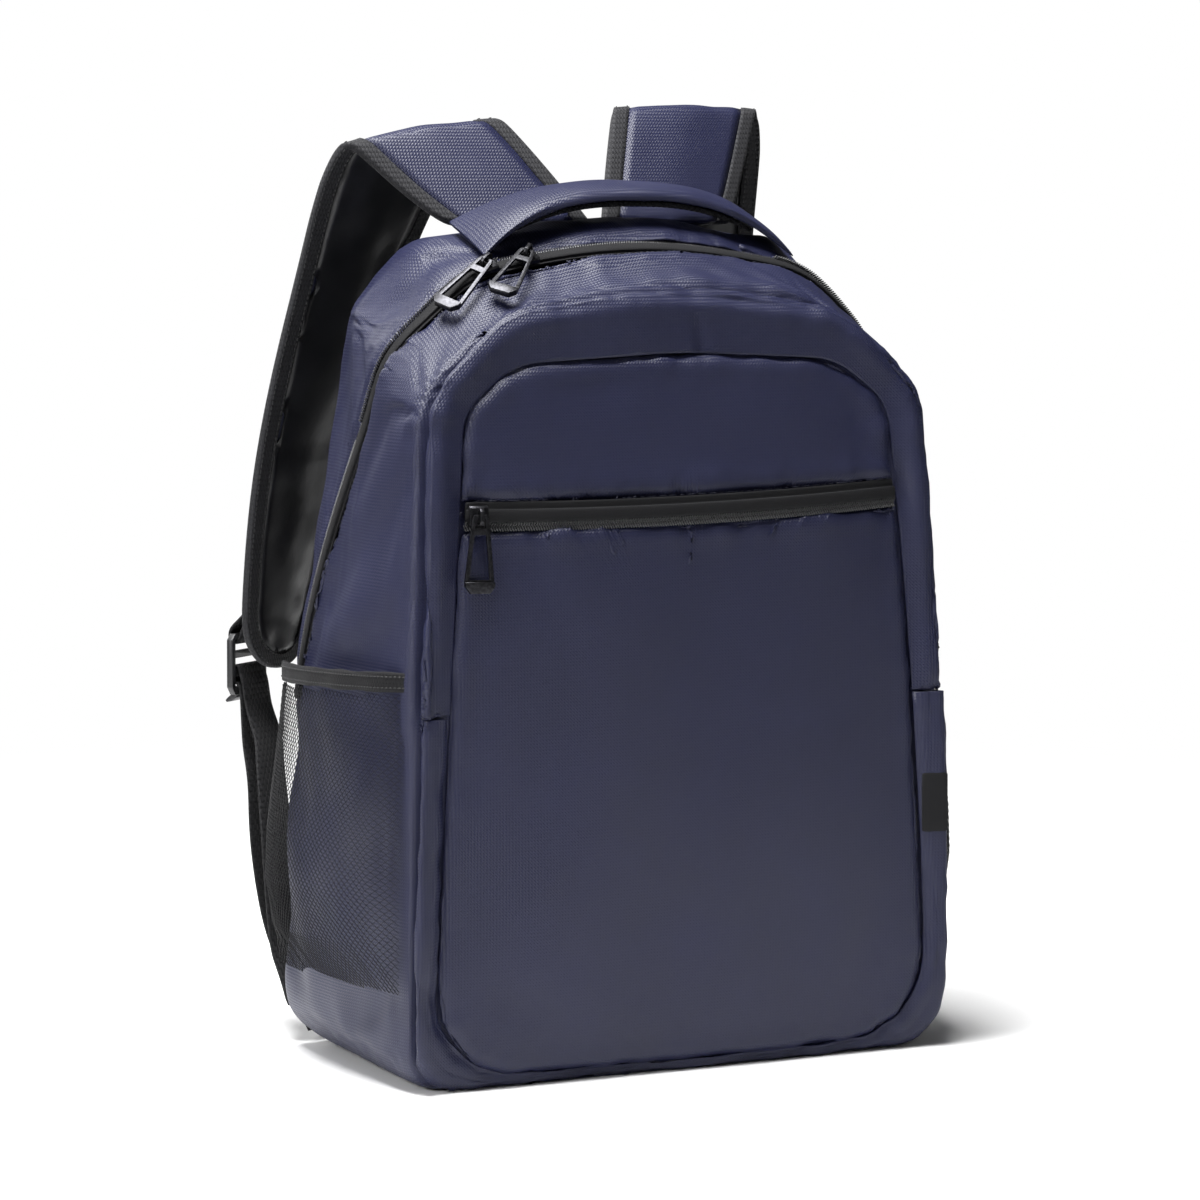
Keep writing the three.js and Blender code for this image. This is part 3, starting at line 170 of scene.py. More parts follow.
def as_object(bm, name):
    mesh = bpy.data.meshes.new(name)
    bm.to_mesh(mesh)
    bm.free()
    return add_object(name, mesh)


def applied(obj):
    """The object's mesh with its modifiers applied."""
    mesh = bpy.data.meshes.new_from_object(obj.evaluated_get(bpy.context.evaluated_depsgraph_get()))
    mesh.name = obj.name
    obj.modifiers.clear()
    obj.data = mesh
    return obj


def subdivided(obj, levels, crease_angle=None):
    if crease_angle:
        bm = bmesh.new()
        bm.from_mesh(obj.data)
        layer = bm.edges.layers.float.new("crease_edge")
        for edge in bm.edges:
            if edge.is_manifold and edge.calc_face_angle() > crease_angle:
                edge[layer] = 0.75
        bm.to_mesh(obj.data)
        bm.free()
    modifier = obj.modifiers.new("smooth", "SUBSURF")
    modifier.levels = levels
    modifier.render_levels = levels
    modifier.boundary_smooth = "PRESERVE_CORNERS"
    return applied(obj)


def solidified(obj, wall):
    modifier = obj.modifiers.new("wall", "SOLIDIFY")
    modifier.thickness = wall
    modifier.offset = -1
    return applied(obj)


def smooth_shaded(mesh):
    mesh.shade_smooth()
    mesh.update()


def cloth_uv(mesh):
    """A map in metres laid on each face from the side that it looks to, for weave and ribs."""
    layer = mesh.uv_layers.new(name="cloth")
    points = coordinates(mesh)
    values = np.zeros((len(mesh.loops), 2))
    for poly in mesh.polygons:
        n = [abs(v) for v in poly.normal]
        axis = n.index(max(n))
        keep = [k for k in (0, 1, 2) if k != axis]
        loops = list(poly.loop_indices)
        verts = [mesh.loops[k].vertex_index for k in loops]
        values[loops] = points[verts][:, keep]
    layer.data.foreach_set("uv", values.ravel())


def folded(obj, node):
    """Raises and sinks the skin along this node's folds."""
    tree = BVHTree.FromObject(obj, bpy.context.evaluated_depsgraph_get())
    points = coordinates(obj.data)
    way = normals(obj.data)
    shift = np.zeros(len(points))
    for fold in FOLDS:
        if fold["on"] != node:
            continue
        ends = [tree.ray_cast(*photo_ray(fold[key]))[0] for key in ("start", "end")]
        if None in ends:
            continue
        start, end = (np.array(p) for p in ends)
        run = end - start
        share = np.clip((points - start) @ run / (run @ run), 0, 1)
        off = np.linalg.norm(points - start - share[:, None] * run, axis=1)
        near = off / (fold["reach"] * MM)
        shift += fold["rise"] * MM * np.exp(-near * near) * (1 - 0.35 * np.abs(2 * share - 1))
    set_coordinates(obj.data, points + way * shift[:, None])


def gathered(obj, rows, reach, depth, pitch, seed):
    """Sinks the skin along seams and puckers it beside them, as thread under tension does."""
    places = np.vstack([evenly(row, int(path_length(row) / (2 * MM)) + 2) for row in rows])
    tree = KDTree(len(places))
    for index, place in enumerate(places):
        tree.insert(place, index)
    tree.balance()
    points = coordinates(obj.data)
    way = normals(obj.data)
    shift = np.zeros(len(points))
    for index, point in enumerate(points):
        place, _, gap = tree.find(point)
        if gap > 3 * reach:
            continue
        near = gap / reach
        ripple = noise.noise(Vector(place) / pitch + Vector((seed, seed, seed)))
        shift[index] = depth * (0.75 * near * math.exp(1 - near * near) - 1.1 * math.exp(-4 * near * near))
        shift[index] += depth * 1.5 * ripple * math.exp(-near * near / 2)
    set_coordinates(obj.data, points + way * shift[:, None])


def rumpled(obj, size, depth, seed, stretch=(1, 1, 1), floor=False):
    """Moves the skin in and out by smooth noise. size is the width of a ripple and depth its height."""
    points = coordinates(obj.data)
    way = normals(obj.data)
    scale = np.array(stretch) / size
    offset = Vector((seed * 7.3, seed * 3.1, seed * 5.7))
    lift = np.array([noise.noise(Vector(p * scale) + offset) for p in points])
    if floor:
        lift *= np.clip(points[:, 2] / 0.03, 0, 1)
    set_coordinates(obj.data, points + way * (lift * depth)[:, None])


def settled(obj, held, swell, slack, frames, cap):
    """Lets the cloth settle under a light pressure from inside, held where held is 1, and caps its way."""
    before = coordinates(obj.data)
    group = obj.vertex_groups.new(name="held")
    for index, weight in enumerate(held):
        if weight > 0:
            group.add([index], float(weight), "REPLACE")
    cloth = obj.modifiers.new("cloth", "CLOTH")
    settings = cloth.settings
    settings.vertex_group_mass = "held"
    settings.quality = 5
    settings.mass = 0.15
    settings.tension_stiffness = 20
    settings.compression_stiffness = 20
    settings.shear_stiffness = 8
    settings.bending_stiffness = 0.6
    settings.use_pressure = True
    settings.uniform_pressure_force = swell
    settings.shrink_min = -slack
    settings.effector_weights.gravity = 0
    cloth.collision_settings.use_collision = False
    cloth.collision_settings.use_self_collision = False
    cloth.point_cache.frame_start = 1
    cloth.point_cache.frame_end = frames
    scene = bpy.context.scene
    for step in range(1, frames + 1):
        scene.frame_set(step)
    applied(obj)
    scene.frame_set(1)
    after = coordinates(obj.data)
    way = after - before
    length = np.linalg.norm(way, axis=1)
    short = np.where(length > cap, cap / np.maximum(length, 1e-9), 1)
    set_coordinates(obj.data, before + way * short[:, None])
    obj.vertex_groups.clear()


def boundary_hold(obj, fade):
    """1 on the open edges of a skin, falling to 0 over the distance fade from them."""
    bm = bmesh.new()
    bm.from_mesh(obj.data)
    edge_points = [v.co.copy() for v in bm.verts if any(e.is_boundary for e in v.link_edges)]
    bm.free()
    points = coordinates(obj.data)
    if not edge_points:
        return np.zeros(len(points))
    edges = np.array(edge_points)
    far = np.array([np.sqrt(((edges - p) ** 2).sum(1).min()) for p in points])
    return np.clip(1 - far / fade, 0, 1)


class Finish:
    """A material being built: its nodes, its links and its surface shader."""

    def __init__(self, name):
        self.material = bpy.data.materials.new(name)
        self.material.use_nodes = True
        self.tree = self.material.node_tree
        self.surface = self.tree.nodes["Principled BSDF"]

    def node(self, kind, **values):
        made = self.tree.nodes.new(kind)
        for key, value in values.items():
            setattr(made, key, value)
        return made

    def link(self, source, target):
        self.tree.links.new(source, target)

    def math(self, kind, first, second=None, third=None):
        made = self.node("ShaderNodeMath", operation=kind)
        for slot, value in enumerate((first, second, third)):
            if value is None:
                continue
            if isinstance(value, (int, float)):
                made.inputs[slot].default_value = value
            else:
                self.link(value, made.inputs[slot])
        return made.outputs[0]

    def weave(self, pitch, turn=0.0, stretch=1.0):
        """Height of a plain weave, 0 to 1: threads that pass over and under each other."""
        uv = self.node("ShaderNodeUVMap", uv_map="cloth")
        place = self.node("ShaderNodeMapping")
        place.inputs["Rotation"].default_value = (0, 0, turn)
        place.inputs["Scale"].default_value = (1 / pitch, stretch / pitch, 1)
        self.link(uv.outputs[0], place.inputs[0])
        apart = self.node("ShaderNodeSeparateXYZ")
        self.link(place.outputs[0], apart.inputs[0])
        across, along = apart.outputs[0], apart.outputs[1]
        parity = self.math("ADD", self.math("FLOOR", across), self.math("FLOOR", along))
        odd = self.math("PINGPONG", parity, 1.0)
        warp = self.math("ABSOLUTE", self.math("SINE", self.math("MULTIPLY", across, math.pi)))
        weft = self.math("ABSOLUTE", self.math("SINE", self.math("MULTIPLY", along, math.pi)))
        even = self.math("SUBTRACT", 1.0, odd)
        return self.math("ADD", self.math("MULTIPLY", warp, odd), self.math("MULTIPLY", weft, even))

    def cells(self, scale, detail=3.0):
        """Soft noise over the piece, 0 to 1."""
        place = self.node("ShaderNodeTexCoord")
        made = self.node("ShaderNodeTexNoise")
        made.inputs["Scale"].default_value = scale
        made.inputs["Detail"].default_value = detail
        self.link(place.outputs["Object"], made.inputs["Vector"])
        return made.outputs[0]

    def ramp(self, source, low, high, low_at=0.0, high_at=1.0):
        made = self.node("ShaderNodeValToRGB")
        made.color_ramp.elements[0].position = low_at
        made.color_ramp.elements[0].color = (*low, 1)
        made.color_ramp.elements[1].position = high_at
        made.color_ramp.elements[1].color = (*high, 1)
        self.link(source, made.inputs[0])
        return made.outputs[0]

    def spread(self, source, low, high):
        """source, from 0 to 1, spread over low to high."""
        made = self.node("ShaderNodeMapRange")
        made.inputs["To Min"].default_value = low
        made.inputs["To Max"].default_value = high
        self.link(source, made.inputs["Value"])
        return made.outputs[0]

    def bump(self, height, distance, strength=1.0):
        made = self.node("ShaderNodeBump")
        made.inputs["Strength"].default_value = strength
        made.inputs["Distance"].default_value = distance
        self.link(height, made.inputs["Height"])
        self.link(made.outputs[0], self.surface.inputs["Normal"])

    def set(self, **values):
        for key, value in values.items():
            self.surface.inputs[key.replace("_", " ")].default_value = value


def scaled_colour(colour, share):
    return tuple(channel * share for channel in colour)


def nylon():
    made = Finish("navy_nylon")
    weave = made.weave(NYLON_PITCH, turn=math.radians(45))
    patches = made.cells(24, 4)
    # Painted highlight and shade: the colour is lighter on the weave's crowns and darker in its hollows,
    # mixed with random patches of the nylon's own tone.
    weave_shade_and_patches = made.math("ADD", made.math("MULTIPLY", weave, 0.62), made.math("MULTIPLY", patches, 0.38))
    deep, light = scaled_colour(NYLON_COLOUR, 0.62), scaled_colour(NYLON_COLOUR, 1.34)
    made.link(made.ramp(weave_shade_and_patches, deep, light, 0.2, 0.9),
              made.surface.inputs["Base Color"])
    made.link(made.spread(patches, 0.4, 0.54), made.surface.inputs["Roughness"])
    made.set(Specular_IOR_Level=0.36, Sheen_Weight=0.01, Sheen_Roughness=0.35)
    made.surface.inputs["Sheen Tint"].default_value = (0.45, 0.48, 0.75, 1)
    made.bump(weave, 0.00016, 0.8)
    return made.material


def dark_cloth(name, colour, pitch, rough, sheen, depth, turn=0.0, stretch=1.0, specular=0.18):
    made = Finish(name)
    weave = made.weave(pitch, turn=turn, stretch=stretch)
    patches = made.cells(40, 3)
    # Painted highlight and shade: the colour is lighter on the weave's or ribs' crowns and darker in their
    # hollows, mixed with random patches of real tone.
    weave_shade_and_patches = made.math("ADD", made.math("MULTIPLY", weave, 0.7), made.math("MULTIPLY", patches, 0.3))
    made.link(made.ramp(weave_shade_and_patches, scaled_colour(colour, 0.45), scaled_colour(colour, 1.5), 0.15, 0.95),
              made.surface.inputs["Base Color"])
    made.link(made.spread(patches, rough - 0.06, rough + 0.08), made.surface.inputs["Roughness"])
    made.set(Specular_IOR_Level=specular, Sheen_Weight=sheen, Sheen_Roughness=0.4)
    made.bump(weave, depth)
    return made.material


def satin():
    made = Finish("satin_lining")
    crease_height_and_shade = made.cells(46, 5)
    # Painted shade: the lining's colour is darker where the creases sink, following the same noise as the
    # bump.
    made.link(made.ramp(crease_height_and_shade, (0.004, 0.004, 0.005), (0.009, 0.009, 0.011), 0.3, 0.7),
              made.surface.inputs["Base Color"])
    made.link(made.spread(crease_height_and_shade, 0.3, 0.46), made.surface.inputs["Roughness"])
    made.set(Specular_IOR_Level=0.45)
    made.bump(crease_height_and_shade, 0.0012, 0.55)
    return made.material


def lacquer():
    made = Finish("slider_metal")
    grime = made.cells(700, 4)
    made.link(made.ramp(grime, (0.012, 0.012, 0.014), (0.045, 0.045, 0.05), 0.3, 0.75),
              made.surface.inputs["Base Color"])
    made.link(made.spread(grime, 0.24, 0.44), made.surface.inputs["Roughness"])
    made.set(Metallic=0.85, Specular_IOR_Level=0.5)
    made.bump(grime, 0.00004)
    return made.material


def moulded():
    made = Finish("moulded_plastic")
    grain = made.cells(1500, 3)
    made.link(made.ramp(grain, (0.008, 0.008, 0.009), (0.02, 0.02, 0.022)),
              made.surface.inputs["Base Color"])
    made.link(made.spread(grain, 0.34, 0.52), made.surface.inputs["Roughness"])
    made.bump(grain, 0.00005)
    return made.material


def coil_plastic():
    made = Finish("zip_coil")
    wear = made.cells(900, 3)
    made.link(made.ramp(wear, (0.012, 0.012, 0.013), (0.05, 0.05, 0.052)),
              made.surface.inputs["Base Color"])
    made.link(made.spread(wear, 0.22, 0.36), made.surface.inputs["Roughness"])
    made.bump(wear, 0.00003)
    return made.material


def thread(name, colour):
    made = Finish(name)
    twist = made.cells(1800, 2)
    made.link(made.ramp(twist, scaled_colour(colour, 0.6), scaled_colour(colour, 1.4)),
              made.surface.inputs["Base Color"])
    made.link(made.spread(twist, 0.42, 0.6), made.surface.inputs["Roughness"])
    made.bump(twist, 0.00008)
    return made.material


BLACK = (0.006, 0.006, 0.007)
NYLON = nylon()
BINDING = dark_cloth("grosgrain_binding", (0.014, 0.014, 0.016), 0.9 * MM, 0.62, 0.05, 0.0002, stretch=0.35)
TAPE = dark_cloth("zip_tape", (0.005, 0.005, 0.006), 0.7 * MM, 0.7, 0.02, 0.0001, specular=0.2)
WEBBING = dark_cloth("black_webbing", (0.009, 0.009, 0.01), 1.4 * MM, 0.62, 0.04, 0.0003, stretch=0.5)
ELASTIC = dark_cloth("elastic_hem", BLACK, 0.8 * MM, 0.65, 0.03, 0.00018, stretch=0.4)
NET = dark_cloth("knitted_net", BLACK, 0.5 * MM, 0.55, 0.03, 0.00006)
SPACER = dark_cloth("spacer_mesh", (0.01, 0.01, 0.011), 2.6 * MM, 0.75, 0.05, 0.0006, turn=math.radians(45))
BRAID = dark_cloth("handle_braid", BLACK, 2.2 * MM, 0.6, 0.04, 0.0009, turn=math.radians(45))
TAG = dark_cloth("label_cloth", (0.006, 0.006, 0.007), 0.5 * MM, 0.6, 0.02, 0.00006)
SATIN = satin()
METAL = lacquer()
PLASTIC = moulded()
COIL = coil_plastic()
NAVY_THREAD = thread("navy_thread", (0.008, 0.009, 0.024))
BLACK_THREAD = thread("black_thread", (0.006, 0.006, 0.007))


def dressed(obj, material, body="bag"):
    obj.data.materials.clear()
    obj.data.materials.append(material)
    if not obj.data.uv_layers.get("cloth"):
        cloth_uv(obj.data)
    smooth_shaded(obj.data)
    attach(obj, body)
    return obj


def ridges(node, angle=40):
    """The chains of sharp edges on a node, longest first, each as a row of points."""
    bm = bmesh.new()
    bm.from_mesh(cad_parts[node].data)
    bmesh.ops.remove_doubles(bm, verts=bm.verts, dist=0.00002)
    limit = math.radians(angle)
    sharp = {e for e in bm.edges if e.is_manifold and e.calc_face_angle() > limit}
    links = {}
    for edge in sharp:
        for vert in edge.verts:
            links.setdefault(vert, []).append(edge)
    chains = []
    unused = set(sharp)
    starts = [v for v, edges in links.items() if len(edges) != 2] + list(links)
    for start in starts:
        for edge in links[start]:
            if edge not in unused:
                continue
            row = [start]
            here = edge
            while here in unused:
                unused.discard(here)
                row.append(here.other_vert(row[-1]))
                onward = [e for e in links[row[-1]] if e in unused]
                if len(links[row[-1]]) != 2 or not onward:
                    break
                here = onward[0]
            chains.append(np.array([v.co[:] for v in row]))
    bm.free()
    return sorted(chains, key=lambda row: -path_length(row))


def path_length(points):
    return float(np.linalg.norm(np.diff(points, axis=0), axis=1).sum())


def evenly(points, count):
    """A path through the points in count even steps, rounded between them."""
    gaps = np.concatenate([[0], np.cumsum(np.linalg.norm(np.diff(points, axis=0), axis=1))])
    wanted = np.linspace(0, gaps[-1], count)
    return np.stack([np.interp(wanted, gaps, points[:, k]) for k in range(3)], 1)


def rounded(points, passes=3):
    """The path with its corners cut, which turns straight steps into a curve."""
    for _ in range(passes):
        first, second = points[:-1], points[1:]
        cut = np.empty((2 * len(first), 3))
        cut[0::2] = first * 0.75 + second * 0.25
        cut[1::2] = first * 0.25 + second * 0.75
        points = np.vstack([points[:1], cut, points[-1:]])
    return points


def matched(first, second):
    """second, turned to run the same way as first."""
    ahead = np.linalg.norm(first[0] - second[0]) + np.linalg.norm(first[-1] - second[-1])
    behind = np.linalg.norm(first[0] - second[-1]) + np.linalg.norm(first[-1] - second[0])
    return second if ahead <= behind else second[::-1]


def surface_tree(*objects):
    """One tree of the surfaces of several objects."""
    verts, faces = [], []
    for obj in objects:
        base = len(verts)
        verts += [v.co.copy() for v in obj.data.vertices]
        faces += [[base + k for k in poly.vertices] for poly in obj.data.polygons]
    return BVHTree.FromPolygons(verts, faces)


def seated(points, tree, lift):
    """The points moved onto the nearest surface and lifted off it, with the normals there."""
    seats, ups = [], []
    for point in points:
        seat, up, _, _ = tree.find_nearest(Vector(point))
        seats.append(seat + up * lift)
        ups.append(up)
    return np.array(seats), np.array(ups)


def repeat_tree(name):
    """Node group that sets a small round piece at each point, along the row and up from the cloth."""
    tree = bpy.data.node_groups.new(name, "GeometryNodeTree")
    face = tree.interface
    face.new_socket("Geometry", in_out="INPUT", socket_type="NodeSocketGeometry")
    for label in ("Length", "Width", "Height"):
        face.new_socket(label, in_out="INPUT", socket_type="NodeSocketFloat")
    face.new_socket("Finish", in_out="INPUT", socket_type="NodeSocketMaterial")
    face.new_socket("Geometry", in_out="OUTPUT", socket_type="NodeSocketGeometry")

    def add(kind, **values):
        node = tree.nodes.new(kind)
        for key, value in values.items():
            setattr(node, key, value)
        return node

    link = tree.links.new
    start, end = add("NodeGroupInput"), add("NodeGroupOutput")
    bead = add("GeometryNodeMeshUVSphere")
    bead.inputs["Segments"].default_value = 6
    bead.inputs["Rings"].default_value = 5
    bead.inputs["Radius"].default_value = 0.5
    size = add("ShaderNodeCombineXYZ")
    for axis, label in enumerate(("Height", "Width", "Length")):
        link(start.outputs[label], size.inputs[axis])
    along = add("GeometryNodeInputNamedAttribute", data_type="FLOAT_VECTOR")
    along.inputs["Name"].default_value = "along"
    up = add("GeometryNodeInputNamedAttribute", data_type="FLOAT_VECTOR")
    up.inputs["Name"].default_value = "up"
    run = add("FunctionNodeAlignRotationToVector", axis="Z")
    link(along.outputs["Attribute"], run.inputs["Vector"])
    lean = add("FunctionNodeAlignRotationToVector", axis="X", pivot_axis="Z")
    link(run.outputs[0], lean.inputs["Rotation"])
    link(up.outputs["Attribute"], lean.inputs["Vector"])
    place = add("GeometryNodeInstanceOnPoints")
    link(start.outputs["Geometry"], place.inputs["Points"])
    link(bead.outputs["Mesh"], place.inputs["Instance"])
    link(lean.outputs[0], place.inputs["Rotation"])
    link(size.outputs[0], place.inputs["Scale"])
    real = add("GeometryNodeRealizeInstances")
    paint = add("GeometryNodeSetMaterial")
    link(place.outputs[0], real.inputs[0])
    link(real.outputs[0], paint.inputs["Geometry"])
    link(start.outputs["Finish"], paint.inputs["Material"])
    link(paint.outputs[0], end.inputs[0])
    return tree


REPEAT = repeat_tree("repeated_piece")


def repeated(name, points, along, up, size, material, body="bag"):
    """One small round piece at each point: size is its length along the row, width and height."""
    mesh = bpy.data.meshes.new(name)
    mesh.from_pydata([tuple(p) for p in points], [], [])
    for label, values in (("along", along), ("up", up)):
        layer = mesh.attributes.new(label, "FLOAT_VECTOR", "POINT")
        layer.data.foreach_set("vector", np.ascontiguousarray(values).ravel())
    obj = add_object(name, mesh)
    modifier = obj.modifiers.new("repeat", "NODES")
    modifier.node_group = REPEAT
    values = dict(zip(("Length", "Width", "Height"), size), Finish=material)
    for item in REPEAT.interface.items_tree:
        if item.in_out == "INPUT" and item.name in values:
            modifier[item.identifier] = values[item.name]
    applied(obj)
    for label in ("along", "up"):
        layer = obj.data.attributes.get(label)
        if layer:
            obj.data.attributes.remove(layer)
    return dressed(obj, material, body)


def directions(points):
    way = np.gradient(points, axis=0)
    return way / np.maximum(np.linalg.norm(way, axis=1), 1e-9)[:, None]


def stitched(name, rows, tree, material, pitch=STITCH_PITCH, length=STITCH_LENGTH):
    """Rows of stitches pressed into the cloth, one object for all of them."""
    seats, alongs, ups = [], [], []
    for row in rows:
        count = max(3, int(path_length(row) / pitch))
        points, up = seated(evenly(row, count), tree, THREAD_RADIUS * 0.35)
        seats.append(points)
        ups.append(up)
        alongs.append(directions(points))
    size = (length, THREAD_RADIUS * 2, THREAD_RADIUS * 2)
    return repeated(name, np.vstack(seats), np.vstack(alongs), np.vstack(ups), size, material)


def coil(name, row, tree, lift):
    """The zip's coil: two rows of leaning turns that mesh along the middle of the tape."""
    count = int(path_length(row) / COIL_PITCH)
    points, up = seated(evenly(row, count), tree, lift)
    ahead = directions(points)
    across = np.cross(up, ahead)
    across /= np.maximum(np.linalg.norm(across, axis=1), 1e-9)[:, None]
    seats, alongs = [], []
    for side in (-1, 1):
        seats.append(points + across * side * COIL_WIDTH * 0.36 + ahead * (side * COIL_PITCH / 4))
        alongs.append(across * side + ahead * 0.45)
    size = (COIL_WIDTH, COIL_WIRE * 1.7, COIL_WIRE * 2.2)
    return repeated(name, np.vstack(seats), np.vstack(alongs), np.vstack([up, up]), size, COIL)


def soft_piece(node, name, levels, centre=None, crease=None):
    """A node's shape rounded off, or only its outer skin as seen from a centre inside it."""
    bm = welded(node)
    if centre:
        keep_outside(bm, centre)
    return subdivided(as_object(bm, name), levels, crease)


def placed(obj, node, material):
    dressed(obj, material)
    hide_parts(node)
    return obj


BODY_CENTRE = (0, 0.02, 0.2)
FAR_BEHIND = (0, 1, 0.2)


def under_padding(points):
    """1 where the skin lies under the back padding, falling to 0 at the sides and top."""
    low, high = (np.array(corner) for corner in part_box("back_pad"))
    deep = np.clip((points[:, 1] - low[1] + 0.012) / 0.012, 0, 1)
    inside = np.minimum(high[0] - np.abs(points[:, 0]), high[2] - points[:, 2])
    return deep * np.clip(inside / 0.02 + 1, 0, 1)


def body_cloth():
    """The main compartment's skin, settled and folded, with its wall turned in."""
    obj = soft_piece("main_compartment", "main_body", 2, centre=BODY_CENTRE)
    held = boundary_hold(obj, 0.02)
    points = coordinates(obj.data)
    held = np.maximum(held, np.clip(1 - points[:, 2] / 0.02, 0, 1))
    held = np.maximum(held, np.clip((-0.052 - points[:, 1]) / 0.01, 0, 1))
    held = np.maximum(held, under_padding(points))
    held = np.maximum(held, 0.12)
    settled(obj, held, 1.2, 0.012, 16, 5 * MM)
    subdivided(obj, 1)
    calm = coordinates(obj.data)
    folded(obj, "main_compartment")
    rumpled(obj, 0.09, 4.5 * MM, 1, stretch=(1, 1, 0.55), floor=True)
    rumpled(obj, 0.04, 1.2 * MM, 2, floor=True)
    gathered(obj, outer_pair("main_zip", 420, (0, 0.02, 0.18)), 9 * MM, 0.9 * MM, 11 * MM, 3)
    gathered(obj, ridges("front_gusset_upper")[:2], 9 * MM, 1.3 * MM, 14 * MM, 5)
    share = under_padding(calm)[:, None]
    set_coordinates(obj.data, coordinates(obj.data) * (1 - share) + calm * share)
    solidified(obj, SKIN_WALL)
    return placed(obj, "main_compartment", NYLON)


def front_cloth():
    made = {}
    for node, levels, seed, centre in (("front_gusset_upper", 3, 3, BODY_CENTRE),
                                       ("front_gusset_lower", 3, 4, BODY_CENTRE),
                                       ("front_panel_upper", 3, 5, FAR_BEHIND),
                                       ("front_panel_lower", 3, 6, FAR_BEHIND)):
        obj = soft_piece(node, node.replace("front", "pocket"), levels, centre=centre)
        folded(obj, node)
        rumpled(obj, 0.06, 2.4 * MM, seed, stretch=(1, 1, 0.6), floor=True)
        gathered(obj, ridges(node)[:3], 7 * MM, 1.1 * MM, 12 * MM, seed)
        solidified(obj, SKIN_WALL)
        made[node] = placed(obj, node, NYLON)
    return made


def reach_for(obj, tree, within, share):
    """Points of obj near the tree's surface go towards it, so that a seam closes."""
    points = coordinates(obj.data)
    for index, point in enumerate(points):
        seat, _, _, _ = tree.find_nearest(Vector(point), within)
        if seat is not None:
            points[index] += (np.array(seat) - point) * share
    set_coordinates(obj.data, points)


def straps():
    made = []
    for side in SIDES:
        binding = soft_piece(f"{side}_strap_binding", f"{side}_edge_binding", 2, crease=math.radians(50))
        tree = surface_tree(binding)
        for layer, material, slot_name, depth in (("outer", NYLON, "navy_nylon", 0.6 * MM),
                                                  ("lining", SATIN, "satin_lining", 2.2 * MM)):
            node = f"{side}_strap_{layer}"
            obj = soft_piece(node, f"{side}_shoulder_{layer}", 2, crease=math.radians(50))
            rumpled(obj, 0.03, depth, 8 if layer == "outer" else 9, stretch=(1, 1, 0.6))
            rumpled(obj, 0.012, depth * 0.4, 10)
            reach_for(obj, tree, 2.6 * MM, 1.25)
            placed(obj, node, material)
            made.append(obj)
        placed(binding, f"{side}_strap_binding", BINDING)
        made.append(binding)
    return made


def handle():
    cover = soft_piece("handle_cover", "grab_handle", 3, crease=math.radians(60))
    rumpled(cover, 0.02, 0.6 * MM, 12)
    placed(cover, "handle_cover", NYLON)
    pad = soft_piece("handle_pad", "grab_handle_braid", 2, crease=math.radians(60))
    placed(pad, "handle_pad", BRAID)
    return cover, pad


def back_padding():
    obj = soft_piece("back_pad", "back_padding", 4, crease=math.radians(50))
    points = coordinates(obj.data)
    way = normals(obj.data)
    low, high = points.min(0), points.max(0)
    across = points[:, 0] / high[0]
    up = (points[:, 2] - low[2]) / (high[2] - low[2])
    channels = np.zeros(len(points))
    for at in (-0.36, 0.36):
        channels += np.exp(-((across - at) / 0.045) ** 2)
    for at in (0.2, 0.4, 0.6, 0.8):
        channels += np.exp(-((up - at + 0.05 * np.abs(across)) / 0.014) ** 2)
    outer = np.clip(way[:, 1], 0, 1)
    set_coordinates(obj.data, points - way * (np.minimum(channels, 1) * outer * 3.2 * MM)[:, None])
    placed(obj, "back_pad", SPACER)
    return obj


def outer_pair(node, count, centre=(0, 0, 0.2)):
    """The two long edges of a band's outer face, matched point by point."""
    rows = [rounded(row) for row in ridges(node)[:4]]
    first = evenly(rows[0], count)
    rows = [first] + [evenly(matched(first, row), count) for row in rows[1:]]
    middle = np.mean(rows, axis=0)
    away = middle - np.array(centre)
    scores = [float(np.mean(np.sum((row - middle) * away, axis=1))) for row in rows]
    best = np.argsort(scores)[-2:]
    return rows[best[0]], rows[best[1]]


def zips():
    made = []
    for node, name, count, centre in (("main_zip", "main_zip_tape", 420, (0, 0.02, 0.18)),
                                      ("front_zip", "pocket_zip_tape", 160, (0, 0.5, 0.28))):
        obj = soft_piece(node, name, 2, crease=math.radians(50))
        placed(obj, node, TAPE)
        first, second = outer_pair(node, count, centre)
        made.append((obj, (first + second) / 2, first, second))
        coil(f"{name}_coil", (first + second) / 2, surface_tree(obj), 0.3 * MM)
    return made


def net_pocket(side):
    """Diamond cells of cord over the pocket's outer face, from its foot to its mouth."""
    node = f"{side}_net"
    sign = -1 if side == "left" else 1
    bm = bmesh.new()
    bm.from_mesh(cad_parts[node].data)
    tree = BVHTree.FromBMesh(bm)
    bm.free()
    low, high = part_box(node)
    columns = int((high.y - low.y) / NET_CELL) + 1
    rows = int((high.z - low.z) / NET_CELL * 2) + 1
    out = bmesh.new()
    grid = {}
    for i in range(columns * 2 + 1):
        for j in range(rows + 1):
            if (i + j) % 2:
                continue
            y = low.y + i * NET_CELL / 2
            z = low.z + j * NET_CELL / 2
            hit = tree.ray_cast(Vector((sign * 0.3, y, z)), Vector((-sign, 0, 0)))[0]
            if hit is not None:
                grid[i, j] = out.verts.new(hit - Vector((sign * 0.2 * MM, 0, 0)))
    for (i, j) in list(grid):
        corners = [(i, j), (i + 1, j + 1), (i, j + 2), (i - 1, j + 1)]
        if all(corner in grid for corner in corners):
            out.faces.new([grid[corner] for corner in (corners if sign > 0 else corners[::-1])])
    loose = [v for v in out.verts if not v.link_faces]
    bmesh.ops.delete(out, geom=loose, context="VERTS")
    obj = as_object(out, f"{side}_pocket_net")
    modifier = obj.modifiers.new("cords", "WIREFRAME")
    modifier.thickness = NET_CORD
    modifier.use_even_offset = False
    applied(obj)
    return placed(obj, node, NET)


